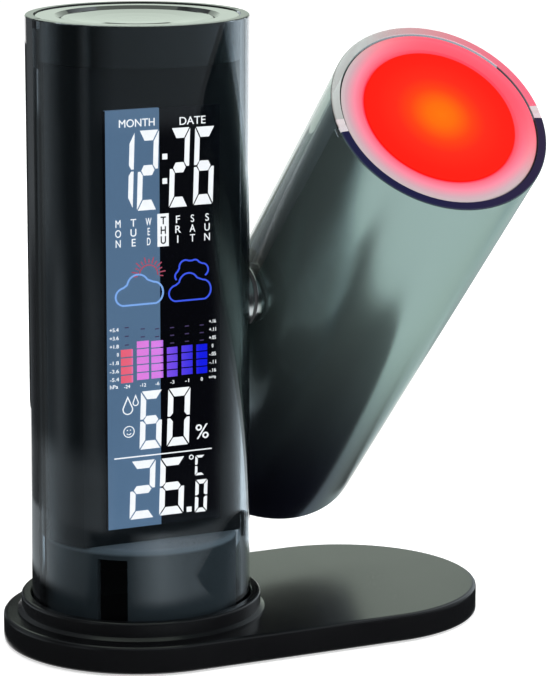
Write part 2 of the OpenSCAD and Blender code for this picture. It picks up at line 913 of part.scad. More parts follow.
// Turns with the arm: 0 is the arm upright, with the finger towards the rear
module with_arm() {
    rotate([0, 0, 90 - arm_tilt]) children();
}

// Everything beyond the flat that keys the stop washer to the shaft
module beyond_flat(d, top) {
    low = -tail_x - 1;
    translate([d, -shaft_r - 1, low]) cube([shaft_r, 2 * shaft_r + 2, top - low]);
}

module stop_washer() {
    color("silver") on_pivot() with_arm() difference() {
        translate([0, 0, -stop_x - stop_t]) {
            cylinder(r = clip_r + 0.5, h = stop_t);
            rotate([0, 0, -finger_deg / 2])
                rotate_extrude(angle = finger_deg)
                    translate([clip_r, 0]) square([finger_r - clip_r, stop_t]);
        }
        difference() {
            translate([0, 0, -tail_x]) cylinder(r = shaft_r + snug, h = tail_x);
            beyond_flat(groove_r + snug, 1);
        }
    }
}

// Hollow shaft with a shoulder that is clamped in the arm's shells
module pivot_shaft() {
    color("#b9c0c2") on_pivot() with_arm() difference() {
        turned(concat(
            [[shaft_bore_r, -tail_x], [shaft_r - 0.5, -tail_x], [shaft_r, -tail_x + 0.5],
             [shaft_r, -clip_x - clip_t - snug], [groove_r, -clip_x - clip_t - snug],
             [groove_r, -clip_x + snug], [shaft_r, -clip_x + snug], [shaft_r, hub_face]],
            arc(arm_hub_r - 0.4, hub_face + 0.4, 0.4, -90, 0),
            [[arm_hub_r, seat_x], [hub_flange_r - 1, seat_x],
             [hub_flange_r - 1, seat_x + hub_flange_t], [shaft_bore_r, seat_x + hub_flange_t]]));
        beyond_flat(groove_r, -stop_x);
    }
}

// Open spring ring that snaps into the shaft's groove
module pivot_clip() {
    color("silver") on_pivot() translate([0, 0, -clip_x - clip_t])
        rotate([0, 0, 25]) rotate_extrude(angle = 310)
            translate([groove_r + snug, 0]) square([clip_r - groove_r - snug, clip_t]);
}

// ---------- arm ----------

module arm_front_shell() {
    color([0.13, 0.15, 0.19, 0.6]) on_arm()
        clamshell(-1, -1, -arm_top, arm_top, 0, arm_hub_r + snug);
}

module arm_rear_shell() {
    color("#2b3236") on_arm()
        clamshell(1, -1, -arm_top, arm_top, 0, arm_hub_r + snug);
}

module arm_core() {
    color("#0e1013") on_arm() difference() {
        union() {
            translate([0, 0, core_low]) hollow_post(core_r, core_r - core_wall, core_top - core_low);
            translate([0, 0, core_low]) cylinder(r = core_r, h = core_wall);
            for (x = [-1, 1])
                translate([x * cap_screw_x, 0, core_low]) cylinder(r = cap_boss_r, h = cap_screw_l + 3);
        }
        hub_hole(-1, 0, hub_clear_r);
        for (x = [-1, 1])
            translate([x * cap_screw_x, 0, core_low - 1])
                cylinder(r = screw_r + snug, h = cap_screw_l + 1);
    }
}

module light_cup() {
    r = cup_r;
    color("#c9cdcf") on_arm() difference() {
        turned([[cup_neck_r - cup_wall, cup_low], [cup_neck_r, cup_low],
            [cup_step_r, cup_shoulder], [r, cup_shoulder], [r, bezel_seat],
            [r - cup_wall, bezel_seat], [r - cup_wall, cup_shoulder + 2 * cup_wall],
            [cup_neck_r - cup_wall, cup_low + 1]]);
        hub_hole(-1, 0, hub_clear_r);
    }
}

module lens_bezel() {
    color("#f1b9c4") on_arm()
        turned(concat(
            [[lens_r - 1.5, bezel_seat], [in_r - 0.2, bezel_seat]],
            arc(in_r - 0.7, arm_top - 1, 0.5, 0, 90),
            [[in_r - 1.6, arm_top - 0.5], [lens_r + 1.2, lens_face - lens_dome - 0.1],
             [lens_r + 0.1, lens_face - lens_dome - 0.5], [lens_r + 0.1, bezel_seat + 1.2],
             [lens_r - 1.5, bezel_seat + 1.2]]));
}

module front_lens() {
    z0 = bezel_seat + 1.2;
    color("#ff3020") on_arm()
        turned([[0, z0], [lens_r, z0], [lens_r, z0 + lens_edge_t],
            [lens_r * 0.8, z0 + lens_edge_t + lens_dome * 0.36],
            [lens_r * 0.6, z0 + lens_edge_t + lens_dome * 0.64],
            [lens_r * 0.3, z0 + lens_edge_t + lens_dome * 0.91],
            [0, z0 + lens_edge_t + lens_dome]]);
}

module projector_tube() {
    color("#15171a") on_arm() turned([
        [barrel_r - barrel_wall, led_board_z], [barrel_r + 2, led_board_z],
        [barrel_r + 2, led_board_z + 1.5], [barrel_r, led_board_z + 1.5],
        [barrel_r, led_board_z + barrel_h], [barrel_r - barrel_wall - 1, led_board_z + barrel_h],
        [barrel_r - barrel_wall - 1, led_board_z + barrel_h - 1],
        [barrel_r - barrel_wall, led_board_z + barrel_h - 1]]);
}

module projection_lens() {
    r = barrel_r - barrel_wall - snug;
    z1 = led_board_z + barrel_h - 1;
    color("#cfe3ea") on_arm()
        turned([[0, z1 - 4.4], [r * 0.5, z1 - 4.2], [r, z1 - 3.4], [r, z1], [0, z1]]);
}

module film_lcd() {
    r = barrel_r - barrel_wall - snug;
    color("#3c4a55") on_arm() translate([0, 0, led_board_z + 12]) cylinder(r = r, h = 1.4);
}

module led_board() {
    color("#e9ecec") on_arm() {
        translate([0, 0, led_board_z - pcb_t]) cylinder(r = led_board_r, h = pcb_t);
        translate([0, 0, led_board_z])
            turned(concat([[0, 0], [3.5, 0], [3.5, 0.8], [2.5, 0.8]], arc(0, 0.8, 2.5, 0, 90)));
    }
}

module heat_sink() {
    z1 = led_board_z - pcb_t;
    color("#a9adb0") on_arm() difference() {
        translate([0, 0, z1 - sink_h]) cylinder(r = sink_r, h = sink_h);
        for (y = [-8:4:8])
            translate([-sink_r - 1, y - 1, z1 - sink_h - 1])
                cube([2 * sink_r + 2, 2, sink_h - 2]);
    }
}

module arm_end_cap() {
    z0 = -arm_top + end_sink;
    color("#15171a") on_arm() difference() {
        turned(concat(
            [[0, z0 + 1.2], [in_r - 8, z0 + 1.2], [in_r - 6, z0]],
            arc(in_r - 0.65, z0 + 0.5, 0.5, -90, 0),
            [[in_r - 0.15, z0 + cap_plate_t], [0, z0 + cap_plate_t]]));
        for (x = [-1, 1])
            translate([x * cap_screw_x, 0, z0 - 1]) {
                cylinder(r = screw_r + 0.1, h = cap_plate_t + 2);
                cylinder(r = head_r + fit, h = head_t + 1.1);
            }
    }
}

module end_cap_screws() {
    color("silver") on_arm() both_ways(cap_screw_x)
        translate([0, 0, -arm_top + end_sink + head_t + 0.1])
            pan_screw(screw_r, cap_screw_l, head_r);
}

// Cable from the column through the hollow shaft to a plug under the light
// source. It lies on the pivot axis, so it only twists when the arm turns
module arm_cable() {
    start = -half_pitch - tail_x;
    plug_x = -led_board_r - 1;
    board_under = led_board_z - pcb_t;
    color("#c8321e") on_arm() {
        translate([start, 0, 0]) along_x() {
            cylinder(r = cable_r, h = plug_x + 1 - start);
            translate([0, 0, -4]) cylinder(r = cable_plug_r, h = 3.5);
        }
        translate([start - 1, 0, 0]) along_x() cylinder(r = cable_r, h = 2);
        translate([plug_x, -cable_plug_r, -cable_plug_r + 0.5])
            cube([led_board_r + 1 - sink_r - fit, 2 * cable_plug_r, board_under + cable_plug_r - 0.5]);
    }
}

base_plate();
base_cover();
ballast_plate();
rubber_feet();
cover_screws();
foot_screws();
column_foot();
column_front_shell();
column_rear_shell();
display_frame();
lcd_panel();
backlight();
main_board();
board_screws();
top_cap();
snooze_board();
snooze_screws();
snooze_dome();
snooze_button();
key_board();
key_board_screws();
rear_key(1);  // key_1
rear_key(2);  // key_2
rear_key(3);  // key_3
rear_key(4);  // key_4
rear_key(5);  // key_5
rear_key(6);  // key_6
battery_tray();
battery_contacts();
battery_cells();
battery_door();
dc_jack();
sensor_board();
buzzer();
pivot_bush();
thrust_washer();
disc_spring();
stop_washer();
pivot_shaft();
pivot_clip();
arm_front_shell();
arm_rear_shell();
arm_core();
light_cup();
lens_bezel();
front_lens();
projector_tube();
projection_lens();
film_lcd();
led_board();
heat_sink();
arm_end_cap();
end_cap_screws();
arm_cable();
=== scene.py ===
import json
import math

import bmesh
import bpy
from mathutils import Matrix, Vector


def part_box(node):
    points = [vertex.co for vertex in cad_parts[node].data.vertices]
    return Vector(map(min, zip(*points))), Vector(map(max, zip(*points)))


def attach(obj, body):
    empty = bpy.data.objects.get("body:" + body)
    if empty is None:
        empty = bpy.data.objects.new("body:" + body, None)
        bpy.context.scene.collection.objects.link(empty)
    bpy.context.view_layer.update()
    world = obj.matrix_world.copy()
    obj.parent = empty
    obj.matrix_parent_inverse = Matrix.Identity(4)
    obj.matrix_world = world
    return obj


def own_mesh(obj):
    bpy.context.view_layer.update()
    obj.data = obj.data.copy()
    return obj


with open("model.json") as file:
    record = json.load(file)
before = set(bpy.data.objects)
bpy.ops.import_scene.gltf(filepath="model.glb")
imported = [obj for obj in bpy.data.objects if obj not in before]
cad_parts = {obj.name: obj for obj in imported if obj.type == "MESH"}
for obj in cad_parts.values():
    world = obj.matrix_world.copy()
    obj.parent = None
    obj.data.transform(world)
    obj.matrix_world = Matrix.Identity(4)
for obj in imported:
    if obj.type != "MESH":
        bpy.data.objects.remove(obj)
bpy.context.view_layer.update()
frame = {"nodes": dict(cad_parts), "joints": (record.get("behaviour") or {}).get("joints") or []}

# ---------- Camera ----------
# A long lens, a little above the clock and to its left, that sees the display
# and looks into the lit end of the projector.
camera_data = bpy.data.cameras.new("camera")
camera_data.lens = 176.25
camera_data.sensor_width = 36
camera_data.clip_end = 20
camera = bpy.data.objects.new("camera", camera_data)
camera.location = (-0.4036, -0.8634, 0.2925)
camera.rotation_euler = [math.radians(turn) for turn in (77.826, -0.104, -25.594)]
bpy.context.scene.collection.objects.link(camera)
bpy.context.scene.camera = camera
bpy.context.scene.view_settings.view_transform = "Standard"


# ---------- Studio ----------
# A pale table under an even white room with four soft lamps. The drum, the mats
# and the back card are dark boards that show only in reflections and through
# glass, which is how a black glossy product gets its form.
def feed(tree, sockets, values):
    """Links each named socket to another one, or sets it to a plain value."""
    for label, value in values.items():
        socket = sockets[label]
        if isinstance(value, bpy.types.NodeSocket):
            tree.links.new(value, socket)
        elif socket.type == "RGBA":
            socket.default_value = (*value[:3], 1)
        else:
            socket.default_value = value


def add_node(tree, kind, values, **settings):
    """A shader node with its settings, and its inputs fed by name or number."""
    node = tree.nodes.new("ShaderNode" + kind)
    for setting, value in settings.items():
        setattr(node, setting, value)
    feed(tree, node.inputs, values)
    return node


def math_node(tree, operation, *values):
    """A Math node whose inputs are either plain numbers or other sockets."""
    node = add_node(tree, "Math", dict(enumerate(values)), operation=operation)
    return node.outputs["Value"]


def mix_colour(tree, share, start, end):
    """The start colour where share is 0 and the end colour where it is 1."""
    values = {"Factor": share, "A": start, "B": end}
    return add_node(tree, "Mix", values, data_type="RGBA").outputs["Result"]


def share_between(tree, value, low, high, steps="SMOOTHSTEP", top=1):
    """0 where a value is low, rising to top where it is high."""
    values = {"Value": value, "From Min": low, "From Max": high, "To Max": top}
    return add_node(tree, "MapRange", values, interpolation_type=steps).outputs["Result"]


def colour_ramp(tree, value, low, high, stops):
    """A colour for each value between low and high, from stops of place and colour."""
    ramp = add_node(tree, "ValToRGB", {"Fac": share_between(tree, value, low, high, "LINEAR")})
    steps = ramp.color_ramp.elements
    steps.remove(steps[1])
    for k, (place, colour) in enumerate(stops):
        step = steps[0] if k == 0 else steps.new(place)
        step.position = place
        step.color = (*colour, 1)
    return ramp.outputs["Color"]


def own_place(tree):
    """Where a point lies in its piece's own space."""
    return tree.nodes.new("ShaderNodeTexCoord").outputs["Object"]


def own_axes(tree):
    """The X, Y and Z of that place."""
    return add_node(tree, "SeparateXYZ", {"Vector": own_place(tree)}).outputs


def new_material(name):
    """A material with one Principled shader, and the pieces needed to wire it."""
    material = bpy.data.materials.new(name)
    material.use_nodes = True
    tree = material.node_tree
    tree.nodes.clear()
    shader = tree.nodes.new("ShaderNodeBsdfPrincipled")
    output = tree.nodes.new("ShaderNodeOutputMaterial")
    tree.links.new(shader.outputs["BSDF"], output.inputs["Surface"])
    return material, tree, shader


def new_piece(name, mesh, material):
    """An object in the scene, made of one material."""
    mesh.materials.append(material)
    piece = bpy.data.objects.new(name, mesh)
    bpy.context.scene.collection.objects.link(piece)
    return piece


def hide_from(piece, *rays):
    """Keeps a studio piece from being met by some kinds of rays."""
    for ray in rays:
        setattr(piece, "visible_" + ray, False)


def backdrop_rays(tree):
    """1 for the rays that see the backdrop: from the camera, a gloss or a glass."""
    path = tree.nodes.new("ShaderNodeLightPath").outputs
    either = math_node(tree, "MAXIMUM", path["Is Camera Ray"], path["Is Glossy Ray"])
    return math_node(tree, "MAXIMUM", either, path["Is Transmission Ray"])


world = bpy.data.worlds.new("studio")
world.use_nodes = True
bpy.context.scene.world = world
sky = world.node_tree
sky.nodes.clear()
white = (1, 1, 1)
room_green = (0.72, 0.83, 0.73)
room_light = add_node(sky, "Background", {"Color": white, "Strength": 0.55})
room_path = sky.nodes.new("ShaderNodeLightPath")
room_tint = mix_colour(sky, room_path.outputs["Is Glossy Ray"], white, room_green)
room_seen = add_node(sky, "Background", {"Color": room_tint, "Strength": 1})
room_lights = {1: room_light.outputs["Background"], 2: room_seen.outputs["Background"]}
room_mix = add_node(sky, "MixShader", {"Fac": backdrop_rays(sky), **room_lights})
add_node(sky, "OutputWorld", {"Surface": room_mix.outputs["Shader"]})


def board(name, corners, faces, colour, roughness=0.9):
    """A studio board without any gloss."""
    mesh = bpy.data.meshes.new(name)
    mesh.from_pydata(corners, [], faces)
    material, tree, shader = new_material(name)
    values = {"Base Color": colour, "Roughness": roughness, "Specular IOR Level": 0}
    feed(tree, shader.inputs, values)
    piece = new_piece(name, mesh, material)
    return piece, tree, shader


one_face = [(0, 1, 2, 3)]
table_half = 3.0
table_corners = [
    (x * table_half, y * table_half, 0) for x, y in ((-1, -1), (1, -1), (1, 1), (-1, 1))
]
_, table_tree, table_shader = board("table", table_corners, one_face, (0.9, 0.9, 0.9))
table_glow = math_node(table_tree, "MULTIPLY", backdrop_rays(table_tree), 0.5)
feed(table_tree, table_shader.inputs, {"Emission Color": white, "Emission Strength": table_glow})

camera_turn = math.atan2(camera.location.y, camera.location.x)
ring_steps = 70
ring_faces = [(2 * k, 2 * k + 2, 2 * k + 3, 2 * k + 1) for k in range(ring_steps)]


def ring(start, end, *edges):
    """Corners of a curved board between two edges, each a reach and a height."""
    corners = []
    for k in range(ring_steps + 1):
        turn = math.radians(start + (end - start) * k / ring_steps)
        for reach, height in edges:
            corners.append((reach * math.cos(turn), reach * math.sin(turn), height))
    return corners


def tone_ramp(tree, degrees, tones):
    """The cool grey light of a board by direction."""
    cool = (0.9, 1.0, 1.06)
    stops = [((turn + 180) / 360, [level * part for part in cool]) for turn, level in tones]
    return colour_ramp(tree, degrees, -180, 180, stops)


def reflector(name, centre_x, corners, tones, bands, open_share=0.0):
    """A board that only reflections and glasses see. It is dark, with the grey
    of a room showing here and there round it. tones holds one list of levels
    by direction for each band, and bands says between which heights (or reaches)
    one list goes over into the next. open_share says how much of the white table
    shows between the strips of the board to something that looks down on it."""
    card, tree, shader = board(name, corners, ring_faces, (0, 0, 0), 0.5)
    card.location = (centre_x, 0, 0)
    card.rotation_euler.z = camera_turn
    axes = own_axes(tree)
    turn = math_node(tree, "DEGREES", math_node(tree, "ARCTAN2", axes["Y"], axes["X"]))
    flat = add_node(tree, "CombineXYZ", {"X": axes["X"], "Y": axes["Y"]}).outputs["Vector"]
    reach = add_node(tree, "VectorMath", {0: flat}, operation="LENGTH").outputs["Value"]
    measure = axes["Z"] if name == "drum" else reach
    light = tone_ramp(tree, turn, tones[0])
    for levels, (start, end) in zip(tones[1:], bands):
        share = share_between(tree, measure, start, end)
        light = mix_colour(tree, share, light, tone_ramp(tree, turn, levels))
    slant = add_node(tree, "LayerWeight", {"Blend": 0.5}).outputs["Facing"]
    steep = share_between(tree, slant, 0.6, 0.3, top=open_share)
    light = mix_colour(tree, steep, light, (0.95, 1, 0.98))
    feed(tree, shader.inputs, {"Emission Color": light, "Emission Strength": 1})
    hide_from(card, "camera", "diffuse", "shadow")


# Degrees to the right of the camera's own direction, with the light there: the
# broad pale and dark strips of a room, for the drum's upper end, for high on it,
# half way up and low on it, for the mat before the base, and for plain black felt.
high_tones = [
    (-150, 0.1), (-130, 0.3), (-120, 0.05), (-105, 0.4), (-75, 0.03), (-60, 0.03), (-50, 0.3),
    (-45, 0.05), (75, 0.05), (90, 0.5), (105, 0.5), (120, 1.2), (135, 0.8), (150, 0.15),
]
middle_tones = [
    (-150, 0.15), (-130, 0.05), (-110, 0.2), (-100, 0.1), (-85, 0.4), (-70, 0.03), (-60, 0.03),
    (-45, 0.3), (-25, 0.03), (80, 0.03), (105, 0.3), (130, 1.0), (150, 0.5),
]
low_tones = [
    (-150, 0.25), (-125, 0.1), (-110, 0.7), (-85, 0.55), (-65, 0.35), (-40, 0.5), (-20, 0.05),
    (80, 0.05), (105, 0.4), (135, 1.0), (150, 1.2),
]
foot_tones = [
    (-150, 0.5), (-100, 0.8), (-80, 0.35), (-50, 0.2), (-45, 0.02), (-10, 0.02), (20, 1.2),
    (45, 0.65), (80, 0.4), (100, 0.15), (130, 0.95), (150, 1.0),
]
top_tones = [
    (-150, 0.1), (-130, 0.3), (-120, 0.05), (-105, 0.4), (-80, 0.05), (-60, 0.03), (-50, 0.3),
    (-45, 0.05), (-20, 0.25), (60, 0.35), (105, 0.45), (120, 1.2), (150, 0.15),
]
dark_tones = [(-180, 0.02), (180, 0.02)]
column_x = -0.033
drum_radius = 0.24
mat_height = 0.0006
side_mat_height = 0.0009
reflector(
    "drum", column_x, ring(-150, 150, (drum_radius, 0), (drum_radius, 0.6)),
    [low_tones, middle_tones, high_tones, top_tones],
    [(0.0, 0.014), (0.06, 0.1), (0.121, 0.129)],
)
reflector(
    "mat", column_x, ring(-150, 150, (0.042, mat_height), (drum_radius + 0.002, mat_height)),
    [dark_tones, foot_tones, low_tones], [(0.084, 0.1), (0.166, 0.176)], open_share=1.0,
)
reflector(
    "side_mat", -column_x, ring(20, 170, (0.0415, side_mat_height), (0.1, side_mat_height)),
    [dark_tones], [], open_share=1.0,
)


def soft_lamp(name, place, aim, width, height, power):
    """A rectangular soft box that points at its aim and shows in no reflection."""
    data = bpy.data.lights.new(name, "AREA")
    data.shape = "RECTANGLE"
    data.size = width
    data.size_y = height
    data.energy = power
    lamp = bpy.data.objects.new(name, data)
    lamp.location = place
    lamp.rotation_euler = (Vector(aim) - Vector(place)).to_track_quat("-Z", "Y").to_euler()
    bpy.context.scene.collection.objects.link(lamp)
    hide_from(lamp, "glossy", "transmission")


clock_middle = (0, 0, 0.09)
soft_lamp("lamp_key", (-0.7, -0.9, 1.0), clock_middle, 0.9, 0.9, 9)
soft_lamp("lamp_fill", (0.9, -0.5, 0.8), clock_middle, 0.8, 0.8, 5)
soft_lamp("lamp_back", (0.2, 1.0, 0.9), clock_middle, 0.9, 0.6, 5)
soft_lamp("lamp_low", (0.75, -0.75, 0.12), (0.03, 0, 0.13), 0.5, 0.5, 9)

# A low dark board behind the clock, for the far side of the arm to mirror.
card_y = 0.3
card_left, card_right, card_foot, card_top = -0.3, 0.055, 0.001, 0.14
card_corners = [
    (card_left, card_y, card_foot), (card_right, card_y, card_foot),
    (card_right, card_y, card_top), (card_left, card_y, card_top),
]
back_card, _, _ = board("back_card", card_corners, one_face, (0.02, 0.022, 0.025))
hide_from(back_card, "camera", "diffuse", "transmission", "shadow")


# ---------- Base ----------
# A thick oblong moulding in satin black ABS with a raised socket ring, closed
# from below by a matt cover. Four pan head screws hold the cover over a steel
# weight, and four rubber feet are glued in its pockets.
def start_group(name, values, results):
    """A shader node group with its named inputs and their usual values, and its
    results by kind. A value of four parts is a colour and one of three a vector."""
    group = bpy.data.node_groups.new(name, "ShaderNodeTree")
    for label, value in values.items():
        parts = 1 if isinstance(value, (int, float)) else len(value)
        kind = "NodeSocket" + {1: "Float", 3: "Vector", 4: "Color"}[parts]
        socket = group.interface.new_socket(label, in_out="INPUT", socket_type=kind)
        socket.default_value = value
    for label, kind in results.items():
        group.interface.new_socket(label, in_out="OUTPUT", socket_type="NodeSocket" + kind)
    ins = group.nodes.new("NodeGroupInput")
    outs = group.nodes.new("NodeGroupOutput")
    return group, ins.outputs, outs.inputs


finish_results = {"Color": "Color", "Roughness": "Float", "Normal": "Vector"}


def noise_node(tree, scale, detail, coordinates=None, roughness=0.5):
    """Noise in the piece's own space, from 0 to 1."""
    place = own_place(tree) if coordinates is None else coordinates
    values = {"Scale": scale, "Detail": detail, "Roughness": roughness, "Vector": place}
    return add_node(tree, "TexNoise", values).outputs["Fac"]


def scale_colour(tree, colour, gain):
    """A colour made lighter or darker by a number."""
    values = {0: colour, "Scale": gain}
    return add_node(tree, "VectorMath", values, operation="SCALE").outputs["Vector"]


def bump_normal(tree, height, depth, strength):
    """The normal of a surface with fine relief."""
    values = {"Height": height, "Distance": depth, "Strength": strength}
    return add_node(tree, "Bump", values).outputs["Normal"]


def make_moulded_skin():
    """The fine spark-eroded skin of moulded plastic: grain, tone and sheen drift."""
    values = {
        "Color": (0.02, 0.02, 0.02, 1), "Tone Drift": 0.15, "Roughness": 0.4,
        "Grain Scale": 3000, "Grain Depth": 2e-5,
    }
    group, ins, outs = start_group("moulded_skin", values, finish_results)
    spread = math_node(group, "SUBTRACT", noise_node(group, 38, 3), 0.5)
    gain = math_node(group, "MULTIPLY_ADD", spread, ins["Tone Drift"], 1)
    grain = noise_node(group, ins["Grain Scale"], 4)
    grain_sheen = math_node(group, "MULTIPLY", math_node(group, "SUBTRACT", grain, 0.5), 0.18)
    sheen = math_node(group, "ADD", ins["Roughness"], grain_sheen)
    smudge = math_node(group, "MULTIPLY", spread, 0.12)
    feed(group, outs, {
        "Color": scale_colour(group, ins["Color"], gain),
        "Roughness": math_node(group, "ADD", sheen, smudge),
        "Normal": bump_normal(group, grain, ins["Grain Depth"], 0.5),
    })
    return group


moulded_skin = make_moulded_skin()


def finish_with(tree, shader, group, values):
    """Places a finish group in a material and wires all that it puts out."""
    finish = add_node(tree, "Group", values, node_tree=group)
    for output in finish.outputs:
        socket = "Base Color" if output.name == "Color" else output.name
        tree.links.new(output, shader.inputs[socket])


def moulded(name, colour, roughness, grain_scale, grain_depth, drift=0.3):
    """Plain moulded plastic with the fine skin above."""
    material, tree, shader = new_material(name)
    finish_with(tree, shader, moulded_skin, {
        "Color": colour, "Tone Drift": drift, "Roughness": roughness,
        "Grain Scale": grain_scale, "Grain Depth": grain_depth,
    })
    return material


def dress(material, *nodes):
    """Gives a finish to carried-over pieces."""
    for node in nodes:
        mesh = frame["nodes"][node].data
        mesh.materials.clear()
        mesh.materials.append(material)


satin_black = moulded("satin_black", (0.0035, 0.0036, 0.0042), 0.22, 2600, 1e-5)
dress(satin_black, "base_plate")
dress(moulded("cover_black", (0.02, 0.02, 0.022), 0.62, 1500, 8e-5), "base_cover")
dress(moulded("foot_rubber", (0.032, 0.031, 0.03), 0.8, 900, 6e-5), "rubber_feet")


def make_worked_metal():
    """Fine lines and stains of worked metal, stretched along one direction."""
    values = {
        "Color": (0.5, 0.5, 0.5, 1), "Roughness": 0.3,
        "Line Stretch": (1, 1, 1), "Line Depth": 1e-5,
    }
    group, ins, outs = start_group("worked_metal", values, finish_results)
    stretch = {0: own_place(group), 1: ins["Line Stretch"]}
    stretched = add_node(group, "VectorMath", stretch, operation="MULTIPLY")
    lines = noise_node(group, 1600, 3, stretched.outputs["Vector"])
    stain = math_node(group, "SUBTRACT", noise_node(group, 240, 2), 0.5)
    tone = math_node(group, "MULTIPLY_ADD", stain, 0.35, 1)
    spread = math_node(group, "MULTIPLY", math_node(group, "SUBTRACT", lines, 0.5), 0.25)
    feed(group, outs, {
        "Color": scale_colour(group, ins["Color"], tone),
        "Roughness": math_node(group, "ADD", ins["Roughness"], spread),
        "Normal": bump_normal(group, lines, ins["Line Depth"], 0.4),
    })
    return group


worked_metal = make_worked_metal()


def metal(name, colour, roughness, stretch=(1, 1, 1), depth=1e-5):
    """Bare or plated metal with the marks above."""
    material, tree, shader = new_material(name)
    shader.inputs["Metallic"].default_value = 1
    finish_with(tree, shader, worked_metal, {
        "Color": colour, "Roughness": roughness, "Line Stretch": stretch, "Line Depth": depth,
    })
    return material


rolled_steel = metal("rolled_steel", (0.42, 0.43, 0.44), 0.42, (0.05, 1, 1), 2e-5)
dress(rolled_steel, "ballast_plate")
zinc_screw = metal("zinc_screw", (0.62, 0.63, 0.64), 0.28)
dress(zinc_screw, "cover_screws", "foot_screws")


# ---------- Column foot ----------
# A dark grey moulded cup screwed to the base from below. It centres the lower
# end of the tube, which slides over it, and a painted highlight makes its upper
# edge paler in colour.
def open_up(material):
    """The node tree of a finish, and its shader."""
    return material.node_tree, material.node_tree.nodes["Principled BSDF"]


def source(socket):
    """What feeds a socket."""
    return socket.links[0].from_socket


foot_grey = moulded("foot_grey", (0.15, 0.16, 0.165), 0.3, 2200, 1.5e-5)
foot_tree, foot_shader = open_up(foot_grey)
# Painted highlight: the colour turns paler near the top edge, for the light that edge catches.
painted_highlight_grey = (0.6, 0.63, 0.65)
edge_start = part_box("column_foot")[1].z - 0.0019
edge_end = edge_start + 0.0008
foot_highlight_share = share_between(foot_tree, own_axes(foot_tree)["Z"], edge_start, edge_end, "LINEAR")
foot_skin = source(foot_shader.inputs["Base Color"])
foot_colour = mix_colour(foot_tree, foot_highlight_share, foot_skin, painted_highlight_grey)
feed(foot_tree, foot_shader.inputs, {"Base Color": foot_colour})
dress(foot_grey, "column_foot")


# ---------- Column shells ----------
# Two half tubes, 2.5 mm thick, clipped along their side seams. The front half
# is polished smoked acrylic that the display shows through; the rear half is
# gloss black ABS with cut-outs for the keys, the battery door and the inlet.
def make_polish():
    """Handling marks on polished plastic: faint smears and slow waves."""
    values = {"Roughness": 0.04, "Smear": 0.05, "Wave Depth": 1e-5}
    results = {"Roughness": "Float", "Normal": "Vector"}
    group, ins, outs = start_group("polish", values, results)
    smear = math_node(group, "POWER", noise_node(group, 60, 4, roughness=0.65), 3)
    patchy = math_node(group, "MULTIPLY", smear, ins["Smear"])
    stretch = {0: own_place(group), 1: (1, 1, 0.18)}
    along = add_node(group, "VectorMath", stretch, operation="MULTIPLY")
    flow = noise_node(group, 70, 1, along.outputs["Vector"])
    feed(group, outs, {
        "Roughness": math_node(group, "ADD", ins["Roughness"], patchy),
        "Normal": bump_normal(group, flow, ins["Wave Depth"], 0.5),
    })
    return group


polish = make_polish()


def gloss(name, colour, roughness=0.04, smear=0.12, wave=4e-5):
    """Polished solid plastic."""
    material, tree, shader = new_material(name)
    values = {"Roughness": roughness, "Smear": smear, "Wave Depth": wave}
    finish_with(tree, shader, polish, values)
    feed(tree, shader.inputs, {"Base Color": colour})
    return material


def smoked(name, colour, shade, ior=1.45):
    """Polished see-through plastic. Lamps shine through it, dimmed by shade."""
    material = gloss(name, colour, 0.015, 0.05, 2e-5)
    tree, shader = open_up(material)
    feed(tree, shader.inputs, {"Transmission Weight": 1, "IOR": ior})
    path = tree.nodes.new("ShaderNodeLightPath")
    clear = add_node(tree, "BsdfTransparent", {"Color": shade})
    mix = add_node(tree, "MixShader", {
        "Fac": path.outputs["Is Shadow Ray"], 1: shader.outputs["BSDF"], 2: clear.outputs["BSDF"],
    })
    tree.links.new(mix.outputs["Shader"], tree.nodes["Material Output"].inputs["Surface"])
    return material


column_smoke = smoked("column_smoke", (0.5, 0.56, 0.6), (0.5, 0.55, 0.58))
dress(column_smoke, "column_front_shell")
gloss_black = gloss("gloss_black", (0.006, 0.0065, 0.008))
dress(gloss_black, "column_rear_shell")


# ---------- Display frame ----------
# A black moulded channel inside the tube that carries the glass, the backlight
# and the main board, with the board screwed to its four posts.
frame_black = moulded("frame_black", (0.02, 0.021, 0.023), 0.45, 2600, 1.2e-5)
dress(frame_black, "display_frame", "battery_tray")
backlight_white = moulded("backlight_white", (0.82, 0.82, 0.8), 0.4, 1200, 1e-5, 0.05)
dress(backlight_white, "backlight")


def make_board_pattern():
    """Solder mask with copper tracks showing under it."""
    values = {"Mask": (0.01, 0.08, 0.03, 1), "Track": (0.03, 0.16, 0.06, 1)}
    results = {"Color": "Color", "Height": "Float"}
    group, ins, outs = start_group("board_pattern", values, results)
    upright = {"Vector": own_place(group), "Rotation": (math.radians(90), 0, 0)}
    turned = add_node(group, "Mapping", upright).outputs["Vector"]
    tracks = {"Vector": turned, "Scale": 420, "Mortar Size": 0.09, "Brick Width": 1.7}
    grid = add_node(group, "TexBrick", tracks).outputs["Fac"]
    blend = mix_colour(group, grid, ins["Mask"], ins["Track"])
    feed(group, outs, {"Color": blend, "Height": grid})
    return group


board_pattern = make_board_pattern()


def circuit(name, mask, track):
    """A printed circuit board with raised tracks."""
    material, tree, shader = new_material(name)
    pattern = add_node(tree, "Group", {"Mask": mask, "Track": track}, node_tree=board_pattern)
    relief = bump_normal(tree, pattern.outputs["Height"], 3e-5, 1)
    values = {"Base Color": pattern.outputs["Color"], "Normal": relief, "Roughness": 0.35}
    feed(tree, shader.inputs, values)
    return material


circuit_green = circuit("circuit_green", (0.012, 0.09, 0.035), (0.03, 0.17, 0.07))
dress(circuit_green, "main_board", "snooze_board", "key_board", "sensor_board")
dress(zinc_screw, "board_screws", "snooze_screws", "key_board_screws")
